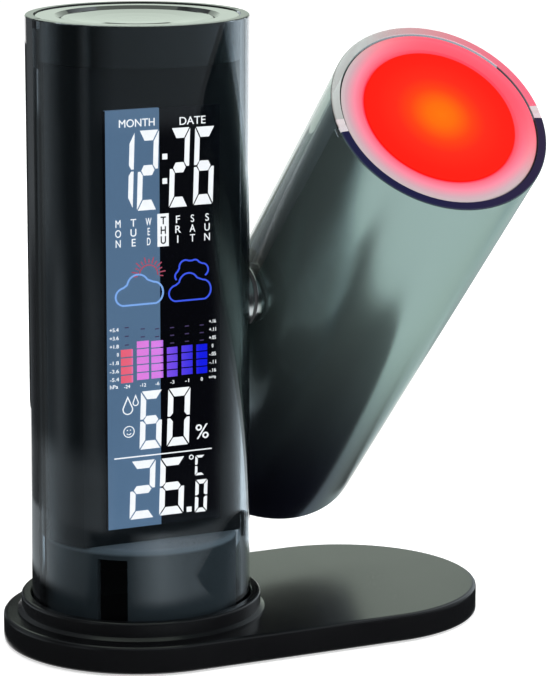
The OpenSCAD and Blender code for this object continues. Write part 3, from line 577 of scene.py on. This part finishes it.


# ---------- Display glass ----------
# One sheet of coated glass on the backlight. A painted reflection makes the left
# part of its face blue-grey and glowing, and the rest is black.
glass_low, glass_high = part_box("lcd_panel")
glass_x = (glass_low.x + glass_high.x) / 2
# Painted reflection: the edges and the blue-grey of the patch on the left of the face.
reflection_left = glass_x - 0.0171
reflection_right = glass_x - 0.0009
reflection_blue = (0.15, 0.238, 0.362)
glass_black = (0.0008, 0.0005, 0.002)


def seen_directly(tree):
    """1 except for rays that have met a gloss on their way."""
    path = tree.nodes.new("ShaderNodeLightPath")
    return math_node(tree, "LESS_THAN", path.outputs["Glossy Depth"], 0.5)


display_glass = gloss("display_glass", glass_black, 0.06, 0.05, 1e-6)
glass_tree, glass_shader = open_up(display_glass)
across = own_axes(glass_tree)["X"]
left_part = math_node(
    glass_tree, "MULTIPLY",
    math_node(glass_tree, "LESS_THAN", across, reflection_right),
    math_node(glass_tree, "GREATER_THAN", across, reflection_left),
)
# The painted reflection goes into both the colour and the glow, and glosses don't see it.
reflection_tone = math_node(glass_tree, "MULTIPLY_ADD", noise_node(glass_tree, 25, 2), 0.3, 0.85)
reflection_patch = math_node(glass_tree, "MULTIPLY", left_part, reflection_tone)
reflection_share = math_node(glass_tree, "MULTIPLY", reflection_patch, seen_directly(glass_tree))
glass_colour = mix_colour(glass_tree, reflection_share, glass_black, reflection_blue)
feed(glass_tree, glass_shader.inputs, {
    "Base Color": glass_colour, "Emission Color": glass_colour, "Emission Strength": 1.0,
})
dress(display_glass, "lcd_panel")


# ---------- Display segments ----------
# The lit segments of the glass, each a thin tile on its face: seven-bar
# digits, their colon and point, small words, weather signs and a bar chart.
mm = 0.001
tile_t = 0.12 * mm
lean = 0.035


def lit(name, colour, strength):
    """Light from a lit segment, a little uneven over its face. colour is a plain
    one, or a function that makes one in the material's tree."""
    material, tree, shader = new_material(name)
    ripple = math_node(tree, "MULTIPLY_ADD", noise_node(tree, 300, 2), 0.2, 0.9)
    tone = math_node(tree, "MULTIPLY", ripple, seen_directly(tree))
    tint = colour(tree) if callable(colour) else colour
    feed(tree, shader.inputs, {
        "Base Color": (0, 0, 0), "Roughness": 0.6,
        "Emission Color": scale_colour(tree, tint, tone), "Emission Strength": strength,
    })
    return material


lit_white = lit("lit_white", (1, 0.93, 0.9), 2.0)


def on_glass(name, bm, material):
    """Makes a piece of the display from its finished tiles."""
    bmesh.ops.recalc_face_normals(bm, faces=bm.faces)
    mesh = bpy.data.meshes.new(name)
    bm.to_mesh(mesh)
    bm.free()
    piece = new_piece(name, mesh, material)
    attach(piece, "stand")
    return piece


def tiles(name, outlines, material):
    """Flat outlines, in millimetres across and up the glass, as thin solid tiles."""
    bm = bmesh.new()
    front = glass_low.y - tile_t
    for outline in outlines:
        corners = [bm.verts.new((glass_x + x * mm, front, z * mm)) for x, z in outline]
        pushed = bmesh.ops.extrude_face_region(bm, geom=[bm.faces.new(corners)])
        moved = [v for v in pushed["geom"] if isinstance(v, bmesh.types.BMVert)]
        bmesh.ops.translate(bm, verts=moved, vec=(0, tile_t, 0))
    on_glass(name, bm, material)


lit_bars = {
    "0": "abcdef", "1": "bc", "2": "abged", "6": "afgedc", "C": "afed",
}


def digit(symbol, left, low, width, height, across, upright, gap=0.3):
    """Outlines of one seven-bar digit. across and upright are its bar widths."""
    w, h, half = width, height, height / 2
    a, u, g = across, upright, gap
    bars = {
        "a": [(g, h), (w - g, h), (w - u - g, h - a), (u + g, h - a)],
        "d": [(g, 0), (u + g, a), (w - u - g, a), (w - g, 0)],
        "g": [(u / 2 + g, half), (u + g, half + a / 2), (w - u - g, half + a / 2),
              (w - u / 2 - g, half), (w - u - g, half - a / 2), (u + g, half - a / 2)],
        "f": [(0, h - g), (u, h - a - g), (u, half + a / 2), (u / 2, half + g), (0, half + g)],
        "e": [(0, g), (0, half - g), (u / 2, half - g), (u, half - a / 2), (u, a + g)],
        "b": [
            (w, h - g), (w, half + g), (w - u / 2, half + g), (w - u, half + a / 2),
            (w - u, h - a - g),
        ],
        "c": [(w, g), (w - u, a + g), (w - u, half - a / 2), (w - u / 2, half - g), (w, half - g)],
    }
    return [
        [(left + x + lean * z, low + z) for x, z in bars[bar]]
        for bar in lit_bars[symbol]
    ]


def block(left, low, right, high):
    """The outline of an upright box between two corners."""
    return [(left, low), (right, low), (right, high), (left, high)]


date_digits = (
    digit("1", -15.1, 131.5, 6.0, 21.7, 2.9, 1.4)
    + digit("2", -7.8, 130.8, 6.0, 22.7, 2.9, 1.45)
    + digit("2", 1.9, 131.0, 5.8, 22.6, 2.9, 1.45)
    + digit("6", 9.3, 131.2, 6.0, 22.3, 2.9, 1.45)
    + [block(0.0, 144.9, 1.5, 146.5), block(0.0, 137.9, 1.4, 139.5)]
)
tiles("date_digits", date_digits, lit_white)
humidity_digits = (
    digit("6", -7.5, 61.4, 6.6, 17.0, 2.4, 1.6) + digit("0", 0.9, 61.5, 6.8, 16.9, 2.4, 1.6)
)
tiles("humidity_digits", humidity_digits, lit_white)
temperature_digits = (
    digit("2", -10.7, 41.0, 7.5, 17.1, 2.3, 1.6)
    + digit("6", -1.6, 41.2, 7.5, 16.8, 2.3, 1.6)
    + digit("0", 9.5, 40.9, 3.7, 9.6, 1.2, 1.0, 0.25)
    + digit("C", 9.6, 51.9, 2.9, 5.9, 0.7, 0.7, 0.2)
    + [block(7.0, 41.3, 8.5, 42.8)]
)
tiles("temperature_digits", temperature_digits, lit_white)
tiles("rule_line", [block(-15.2, 59.3, 14.8, 59.62)], lit_white)


def words(name, entries, material, weight=0.0):
    """Small printed words, each fitted to a box: text, left, low, right, high."""
    bm = bmesh.new()
    for text, left, low, right, high in entries:
        curve = bpy.data.curves.new(text, "FONT")
        curve.body = text
        curve.align_x = "CENTER"
        curve.space_line = 0.92
        curve.extrude = 0.5
        curve.offset = weight
        sheet = bpy.data.objects.new(text, curve)
        bpy.context.scene.collection.objects.link(sheet)
        bpy.context.view_layer.update()
        lettering = bpy.data.meshes.new_from_object(sheet)
        bpy.data.objects.remove(sheet)
        bpy.data.curves.remove(curve)
        across = [v.co.x for v in lettering.vertices]
        up = [v.co.y for v in lettering.vertices]
        wide = (right - left) * mm / (max(across) - min(across))
        tall = (high - low) * mm / (max(up) - min(up))
        for v in lettering.vertices:
            x = glass_x + left * mm + (v.co.x - min(across)) * wide
            z = low * mm + (v.co.y - min(up)) * tall
            y = glass_low.y - tile_t * (0.5 + v.co.z)
            v.co = (x, y, z)
        bm.from_mesh(lettering)
        bpy.data.meshes.remove(lettering)
    return on_glass(name, bm, material)


def ribbon(points, width, closed=False):
    """A line of the given width as mitred quads, ready for tiles()."""
    count = len(points)
    sides = []
    for k, point in enumerate(points):
        before = points[k - 1] if closed or k > 0 else None
        after = points[(k + 1) % count] if closed or k < count - 1 else None
        here = Vector(point)
        turns = []
        if before is not None:
            turns.append((here - Vector(before)).normalized())
        if after is not None:
            turns.append((Vector(after) - here).normalized())
        along = sum(turns, Vector((0, 0))).normalized()
        side = Vector((-along.y, along.x))
        stretch = width / 2 / max(0.3, abs(along.dot(turns[0])))
        sides.append((here + side * stretch, here - side * stretch))
    quads = []
    for k in range(count if closed else count - 1):
        a, b = sides[k], sides[(k + 1) % count]
        quads.append([a[0], a[1], b[1], b[0]])
    return quads


def arc_points(x, z, radius, start, end, steps=12, tall=1.0):
    """Points along an arc, from one angle to another."""
    turns = [math.radians(start + (end - start) * k / steps) for k in range(steps + 1)]
    return [(x + radius * math.cos(t), z + radius * tall * math.sin(t)) for t in turns]


def cloud(left, low, width, height):
    """A closed cloud outline of three puffs."""
    puffs = [
        (0.2, 0.3, 0.2, 255, 100, 10, 0.3), (0.47, 0.62, 0.23, 170, 30, 12, 0.38),
        (0.8, 0.36, 0.2, 90, -75, 12, 0.36),
    ]
    points = []
    for across, up, radius, start, end, steps, rise in puffs:
        x, z, r = left + across * width, low + up * height, radius * width
        points += arc_points(x, z, r, start, end, steps, rise * height / r)
    return points


date_labels = [
    ("MONTH", -13.0, 154.7, -2.3, 156.9),
    ("DATE", 5.3, 154.4, 13.2, 156.6),
]
weekdays = [
    ("MON", -13.5), ("TUE", -8.9), ("WED", -4.3), ("FRI", 4.7), ("SAT", 9.1), ("SUN", 13.6),
]
for day, middle in weekdays:
    date_labels.append(("\n".join(day), middle - 0.85, 120.7, middle + 0.85, 128.5))
words("date_labels", date_labels, lit_white)
tiles("weekday_patch", [block(-1.6, 120.0, 1.8, 129.4)], lit_white)
ink = lit("ink", (0.01, 0.012, 0.02), 0.4)
today = words("weekday_letters", [("T\nH\nU", -0.7, 120.7, 0.95, 128.6)], ink, 0.02)
today.location.y -= tile_t * 0.5

lit_pink = lit("lit_pink", (0.72, 0.12, 0.19), 1.2)
lit_sky = lit("lit_sky", (0.3, 0.52, 1), 1.5)
lit_blue = lit("lit_blue", (0.07, 0.13, 1), 1.5)
sun_x, sun_z, sun_r = -4.4, 112.2, 2.8
sun = ribbon(arc_points(sun_x, sun_z, sun_r, -5, 178, 18), 0.34)
for k in range(13):
    turn = math.radians(-8 + 16 * k)
    near, far = sun_r + 0.55, sun_r + (2.4 if k % 2 else 1.7)
    ends = [(sun_x + d * math.cos(turn), sun_z + d * math.sin(turn)) for d in (near, far)]
    sun += ribbon(ends, 0.32)
tiles("sun_sign", sun, lit_pink)
tiles("cloud_sign", ribbon(cloud(-14.4, 103.7, 14.4, 8.8), 0.5, True), lit_sky)
far_cloud = (
    arc_points(5.2, 111.0, 1.5, 225, 120, 8)
    + arc_points(6.9, 113.6, 1.9, 190, 60, 10)
    + arc_points(9.8, 113.9, 1.5, 120, 30, 8)
    + arc_points(12.0, 112.3, 1.9, 90, -60, 10)
)
tiles(
    "double_cloud_sign",
    ribbon(cloud(1.8, 103.7, 12.9, 8.0), 0.45, True) + ribbon(far_cloud, 0.45),
    lit_blue,
)


def bar_light(tree):
    """Red bars at the left, then pink and violet, to blue at the right."""
    stops = [
        (0.0, (1, 0.13, 0.18)), (0.13, (1, 0.15, 0.24)), (0.17, (0.95, 0.24, 0.75)),
        (0.47, (0.85, 0.24, 0.85)), (0.52, (0.27, 0.09, 0.85)), (0.75, (0.085, 0.045, 0.8)),
        (0.92, (0.006, 0.01, 0.8)),
    ]
    chart_half = 13.5 * mm
    return colour_ramp(
        tree, own_axes(tree)["X"], glass_x - chart_half, glass_x + chart_half, stops
    )


bar_colours = lit("bar_colours", bar_light, 1.7)
unlit = lit("unlit_segments", (0.16, 0.1, 0.26), 0.8)
bars = [
    (-12.95, -9.35, 81.4, 91.5, 4), (-8.1, -4.5, 81.9, 93.5, 5), (-3.7, -0.1, 81.9, 93.2, 5),
    (1.1, 4.3, 81.9, 90.9, 4), (5.6, 8.95, 82.1, 91.0, 4), (10.2, 13.5, 82.0, 90.9, 4),
]
lit_rows, dim_rows = [], []
for left, right, low, high, rows in bars:
    pitch = (high - low) / rows
    middle = (left + right) / 2
    for k in range(rows):
        lit_rows.append(block(left, low + k * pitch, right, low + (k + 0.84) * pitch))
    for k in range(rows, 7):
        if low + (k + 0.6) * pitch < 98.6:
            z = low + (k + 0.3) * pitch
            dim_rows.append(block(middle - 0.6, z, middle + 0.6, z + 0.3))
tiles("chart_bars", lit_rows, bar_colours)
tiles("chart_unlit", dim_rows, unlit)
scale_marks = []
left_scale = ["-5.4", "-3.6", "-1.8", "0", "+1.8", "+3.6", "+5.4"]
right_scale = ["-.16", "-.11", "-.05", "0", "+.05", "+.11", "+.16"]
for k, (left_mark, right_mark) in enumerate(zip(left_scale, right_scale)):
    z = 82.1 + 2.4 * k
    wide = 0.55 if left_mark == "0" else 2.7
    scale_marks.append((left_mark, -13.6 - wide, z, -13.6, z + 1.05))
    scale_marks.append((right_mark, 15.2 - wide * 0.38, z, 15.2 + wide * 0.38, z + 1.05))
scale_marks.append(("hPa", -16.3, 80.0, -13.9, 81.1))
scale_marks.append(("inHg", 14.1, 80.1, 16.2, 81.0))
for k, hour in enumerate(["-24", "-12", "-6", "-3", "-1", "0"]):
    middle = (bars[k][0] + bars[k][1]) / 2
    wide = 0.3 * len(hour)
    scale_marks.append((hour, middle - wide, 79.8, middle + wide, 80.8))
words("chart_scale", scale_marks, lit_white)

drop = [(-11.0, 77.1)] + arc_points(-11.0, 73.6, 1.45, 32, -212, 16)
small_drop = [(-8.6, 77.4)] + arc_points(-8.6, 75.3, 0.8, 32, -212, 12)
face = ribbon(arc_points(-10.7, 67.0, 1.6, 0, 345, 20), 0.22, True)
face += ribbon(arc_points(-10.7, 66.9, 0.75, 210, 330, 8), 0.2)
face += [block(-11.3, 67.3, -11.0, 67.6), block(-10.4, 67.3, -10.1, 67.6)]
tiles("humidity_signs", ribbon(drop, 0.28, True) + ribbon(small_drop, 0.24, True) + face, lit_white)
degree = ribbon(arc_points(8.5, 57.5, 0.6, 0, 330, 12), 0.26, True)
tiles("degree_sign", degree, lit_white)
words("percent_sign", [("%", 9.9, 62.7, 13.9, 67.0)], lit_white)


# ---------- Top cap and snooze button ----------
# A grey clear ring closes the tube, with the snooze button standing in its
# well. Both are moulded and polished. The button presses a soft milky silicone
# dome on a small board. The dome gets a mesh of its own.
for finish, colour, roughness, node in (
    ("cap_grey", (0.02, 0.022, 0.021), 0.05, "top_cap"),
    ("button_grey", (0.03, 0.034, 0.031), 0.08, "snooze_button"),
):
    coated = gloss(finish, colour, roughness, 0.1, 2e-5)
    open_up(coated)[1].inputs["Coat Weight"].default_value = 1
    dress(coated, node)
dress(moulded("silicone", (0.62, 0.62, 0.57), 0.6, 900, 3e-5), "snooze_dome")
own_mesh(frame["nodes"]["snooze_dome"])


# ---------- Setting keys ----------
# Six satin keys in a row up the back, moulded in dark grey ABS, that stand in
# round holes of the rear shell and press small switches on the key board.
key_grey = moulded("key_grey", (0.05, 0.053, 0.057), 0.42, 2400, 2e-5)
dress(key_grey, *[f"key_{k}" for k in range(1, 7)])


# ---------- Battery bay ----------
# Three AAA cells stand in a black tray behind the door, which lies flush in
# the rear shell. Nickel plated springs and plates touch their ends.
dress(metal("contact_nickel", (0.66, 0.64, 0.6), 0.22), "battery_contacts")
dress(gloss("cell_jacket", (0.05, 0.06, 0.075), 0.25, 0.1, 1e-5), "battery_cells")
dress(gloss_black, "battery_door")


# ---------- Inlet, sensor and sounder ----------
# The round power inlet and the sounder, in plain black mouldings low in the
# column. The air sensor's small board beside them has the finish of the others.
dress(moulded("jack_black", (0.015, 0.015, 0.016), 0.5, 1800, 3e-5), "dc_jack", "buzzer")


# ---------- Swivel ----------
# A turned and plated bush is clamped in the column, and the hollow shaft of
# the arm turns in it against a nylon washer and a disc spring.
turned_steel = metal("turned_steel", (0.58, 0.59, 0.61), 0.2, (1, 0.03, 0.03), 1.5e-5)
dress(turned_steel, "pivot_bush", "pivot_shaft")
dress(moulded("washer_nylon", (0.07, 0.07, 0.075), 0.4, 1500, 2e-5), "thrust_washer")
spring_steel = metal("spring_steel", (0.5, 0.5, 0.52), 0.25)
dress(spring_steel, "disc_spring", "stop_washer", "pivot_clip")


# ---------- Arm shells ----------
# Two half tubes like those of the column, split along the arm's sides. The
# front one is smoked acrylic with a half-mirror coat, and the rear one is clear
# grey acrylic. Painted shade darkens both towards the arm's low end, and a
# painted glow on their upper rims stands for the lamp's light.
arm_low, arm_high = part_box("arm_front_shell")
swivel = next(joint for joint in frame["joints"] if joint["name"] == "arm_swivel")
arm_middle = ((arm_low.x + arm_high.x) / 2, 0, swivel["pos_m"][2])
arm_lean = math.radians(45)
arm_way = (0, -math.sin(arm_lean), math.cos(arm_lean))
arm_back = (0, math.sin(arm_lean), math.cos(arm_lean))


def vector_node(tree, operation, first, second, output="Value"):
    """A Vector Math node of two vectors."""
    return add_node(tree, "VectorMath", {0: first, 1: second}, operation=operation).outputs[output]


def start_arm_group(name, values, results):
    """A group that also knows where a point lies from the arm's middle."""
    values = {"Centre": arm_middle, "Axis": arm_way, **values}
    group, ins, outs = start_group(name, values, results)
    away = vector_node(group, "SUBTRACT", own_place(group), ins["Centre"], "Vector")
    return group, ins, outs, away


def make_painted_shade_along_arm():
    """Painted shade: a colour that changes along the arm, dark at its low end and light towards the
    lens.
    """
    values = {
        "Start": -0.03, "End": 0.06,
        "Low Color": (0.006, 0.007, 0.01, 1), "High Color": (0.6, 0.66, 0.66, 1),
    }
    group, ins, outs, away = start_arm_group("painted_shade_along_arm", values, {"Color": "Color"})
    along = vector_node(group, "DOT_PRODUCT", away, ins["Axis"])
    fade = share_between(group, along, ins["Start"], ins["End"])
    feed(group, outs, {"Color": mix_colour(group, fade, ins["Low Color"], ins["High Color"])})
    return group


painted_shade_along_arm = make_painted_shade_along_arm()


def painted_arm_fade(tree, start, end, low=(0.006, 0.007, 0.01), high=(0.6, 0.66, 0.66)):
    """The painted shade above, placed in a material."""
    values = {"Start": start, "End": end, "Low Color": low, "High Color": high}
    return add_node(tree, "Group", values, node_tree=painted_shade_along_arm).outputs["Color"]


def make_end_face():
    """1 on the upper end faces of the arm's tube and 0 on its sides."""
    values = {"Height": 0.0825, "Softness": 0.0004}
    group, ins, outs, away = start_arm_group("end_face", values, {"Mask": "Float"})
    along = vector_node(group, "DOT_PRODUCT", away, ins["Axis"])
    below = math_node(group, "SUBTRACT", ins["Height"], ins["Softness"])
    feed(group, outs, {"Mask": share_between(group, along, below, ins["Height"], "LINEAR")})
    return group


end_face = make_end_face()


def rim_light(tree, shader, left, right):
    """Painted light: a glow in the colour of the wall's upper rim, from left to right, for the lamp
    light that the wall carries up to it.
    """
    rim = add_node(tree, "Group", {}, node_tree=end_face).outputs["Mask"]
    stops = [(0, left), (0.3, left), (1, right)]
    colour = colour_ramp(tree, own_axes(tree)["X"], 0.0, 0.066, stops)
    glow = scale_colour(tree, colour, rim)
    feed(tree, shader.inputs, {"Emission Color": glow, "Emission Strength": 1})
    return rim


arm_smoke = gloss("arm_smoke", (0.4, 0.5, 0.48), 0.16, 0.08, 1e-5)
smoke_tree, smoke_shader = open_up(arm_smoke)
# Painted shade: the front shell's colour darkens towards the arm's low end.
smoke_painted_shade = painted_arm_fade(smoke_tree, -0.075, 0.03, (0.044, 0.049, 0.09), (0.32, 0.43, 0.415))
# Painted light: a faint dark blue glow on the front shell's rim.
smoke_rim = rim_light(smoke_tree, smoke_shader, (0.012, 0.012, 0.05), (0.03, 0.02, 0.05))
smoke_colour = mix_colour(smoke_tree, smoke_rim, smoke_painted_shade, (0.006, 0.006, 0.014))
feed(smoke_tree, smoke_shader.inputs, {
    "Base Color": smoke_colour, "Metallic": 0.88, "Specular Tint": (0.6, 0.66, 0.6),
})
dress(arm_smoke, "arm_front_shell")

arm_grey = smoked("arm_grey", (0.42, 0.47, 0.5), (0.85, 0.88, 0.88))
grey_tree, grey_shader = open_up(arm_grey)
# Painted shade: the rear shell's colour darkens towards the arm's low end.
grey_painted_shade = painted_arm_fade(grey_tree, -0.01, 0.09, (0.02, 0.03, 0.05), (0.3, 0.36, 0.4))
# Painted light: a grey to pink glow on the rear shell's rim.
grey_rim = rim_light(grey_tree, grey_shader, (0.42, 0.41, 0.4), (0.95, 0.1, 0.19))
# Painted light: the locating blocks at the seam glow paler in the colour, for more of the lamp's
# light that they catch.
seam_end = Vector(arm_middle).dot(arm_back) + 0.0015
seam_side = vector_node(grey_tree, "DOT_PRODUCT", own_place(grey_tree), arm_back)
seam_near = math_node(grey_tree, "LESS_THAN", seam_side, seam_end)
seam_painted_glow = math_node(grey_tree, "MULTIPLY", seam_near, grey_rim)
rim_glow = source(grey_shader.inputs["Emission Color"])
feed(grey_tree, grey_shader.inputs, {
    "Base Color": grey_painted_shade,
    "Emission Color": mix_colour(grey_tree, seam_painted_glow, rim_glow, (0.7, 0.6, 0.62)),
    "Sheen Weight": 0.9, "Sheen Roughness": 0.28, "Sheen Tint": (0.8, 0.92, 0.84),
})
dress(arm_grey, "arm_rear_shell")


# ---------- Arm inside ----------
# The black projector tube and the lamp board with its heat sink sit in a
# silvered core. Above it a silvered cup gathers the red light behind the front
# lens. Painted shade darkens the silver of both towards the low end. A black cap
# closes the low end with two screws.
dress(moulded("core_black", (0.006, 0.0062, 0.007), 0.4, 2400, 1.5e-5), "projector_tube")
cup_silver = moulded("cup_silver", (0.62, 0.66, 0.66), 0.35, 1200, 1e-5)
cup_tree, cup_shader = open_up(cup_silver)
# Painted shade: the silver of the cup and core darkens towards the arm's low end.
feed(cup_tree, cup_shader.inputs, {"Base Color": painted_arm_fade(cup_tree, -0.03, 0.045)})
dress(cup_silver, "light_cup", "arm_core")
dress(moulded("led_white", (0.75, 0.76, 0.75), 0.4, 1500, 1e-5, 0.08), "led_board")
dress(metal("sink_aluminium", (0.66, 0.67, 0.68), 0.35, (1, 0.05, 1)), "heat_sink")
lens_clear = smoked("lens_clear", (0.95, 0.97, 0.97), (0.9, 0.92, 0.92), 1.49)
dress(lens_clear, "projection_lens")
dress(gloss("film_glass", (0.02, 0.022, 0.03), 0.08), "film_lcd")
dress(gloss_black, "arm_end_cap")
dress(zinc_screw, "end_cap_screws")
dress(moulded("cable_sheath", (0.3, 0.02, 0.015), 0.5, 1500, 2e-5), "arm_cable")


# ---------- Lens and bezel ----------
# The front lens is frosted acrylic that the lamp lights red, warmer in its
# middle. The bezel round it is frosted clear and carries the glow outwards.
lens_edge = 22 * mm
bezel_edge = 29.5 * mm


def make_from_axis():
    """How far a point lies from the arm's long axis, and how far behind it."""
    results = {"Distance": "Float", "Behind": "Float"}
    group, ins, outs, away = start_arm_group("from_axis", {}, results)
    cross = vector_node(group, "CROSS_PRODUCT", away, ins["Axis"], "Vector")
    distance = add_node(group, "VectorMath", {0: cross}, operation="LENGTH").outputs["Value"]
    behind = vector_node(group, "DOT_PRODUCT", away, arm_back)
    feed(group, outs, {"Distance": distance, "Behind": behind})
    return group


from_axis = make_from_axis()


lens_red, lens_tree, lens_shader = new_material("lens_red")
lens_reach = add_node(lens_tree, "Group", {}, node_tree=from_axis).outputs["Distance"]
lens_stops = [
    (0, (1, 0.19, 0.0)), (0.18, (1, 0.16, 0.0)), (0.42, (1, 0.05, 0.004)),
    (0.6, (1, 0.018, 0.007)), (0.85, (1, 0.008, 0.004)), (1, (1, 0.006, 0.003)),
]
feed(lens_tree, lens_shader.inputs, {
    "Emission Color": colour_ramp(lens_tree, lens_reach, 0, lens_edge, lens_stops),
    "Emission Strength": 0.95, "Base Color": (0.2, 0.004, 0.001), "Roughness": 0.55,
    "Specular IOR Level": 0.05,
})
dress(lens_red, "front_lens")

bezel_frosted, bezel_tree, bezel_shader = new_material("bezel_frosted")
bezel_reach = add_node(bezel_tree, "Group", {}, node_tree=from_axis).outputs


def bezel_ramp(stops):
    """A colour by the share of the way from the lens out to the bezel's edge."""
    return colour_ramp(bezel_tree, bezel_reach["Distance"], lens_edge, bezel_edge, stops)


# The last stops of these ramps are painted shade: the bezel's outer edge goes dark where the gap to
# the rim lies.
pale_light = bezel_ramp([
    (0, (1, 0.01, 0.02)), (0.12, (1, 0.06, 0.12)), (0.4, (0.88, 0.15, 0.24)),
    (0.72, (0.42, 0.17, 0.22)), (0.93, (0.2, 0.13, 0.14)), (0.97, (0, 0, 0)),
])
full_light = bezel_ramp([
    (0, (1, 0.01, 0.015)), (0.15, (1, 0.035, 0.07)), (0.6, (1, 0.06, 0.11)),
    (0.93, (0.9, 0.11, 0.17)), (0.97, (0, 0, 0)),
])
pale_body = bezel_ramp([
    (0, (0.1, 0.01, 0.02)), (0.4, (0.16, 0.08, 0.1)), (0.72, (0.2, 0.18, 0.19)),
    (0.93, (0.3, 0.28, 0.28)), (0.97, (0.02, 0.02, 0.02)),
])
# The glow is full at the upper right and pale at the lower left.
bezel_axes = own_axes(bezel_tree)
bezel_side = math_node(bezel_tree, "MULTIPLY_ADD", bezel_axes["Z"], 1.2, bezel_axes["X"])
full_share = share_between(bezel_tree, bezel_side, 0.215, 0.255)
bezel_light = mix_colour(bezel_tree, full_share, pale_light, full_light)
bezel_body = mix_colour(bezel_tree, full_share, pale_body, (0.25, 0.02, 0.03))
# Painted shade: a dark line in the colour and glow marks the gap at the joint with the rear shell,
# fainter where the glow is full.
painted_joint_line = math_node(
    bezel_tree, "MULTIPLY",
    math_node(bezel_tree, "GREATER_THAN", bezel_reach["Distance"], 28.95 * mm),
    math_node(bezel_tree, "GREATER_THAN", bezel_reach["Behind"], 0),
)
line_depth = math_node(bezel_tree, "MULTIPLY_ADD", full_share, -0.85, 1)
line_shade = math_node(bezel_tree, "MULTIPLY", painted_joint_line, line_depth)
line_open = math_node(bezel_tree, "SUBTRACT", 1, line_shade)
feed(bezel_tree, bezel_shader.inputs, {
    "Emission Color": scale_colour(bezel_tree, bezel_light, line_open),
    "Base Color": scale_colour(bezel_tree, bezel_body, line_open),
    "Emission Strength": 0.9, "Roughness": 0.3,
})
dress(bezel_frosted, "lens_bezel")
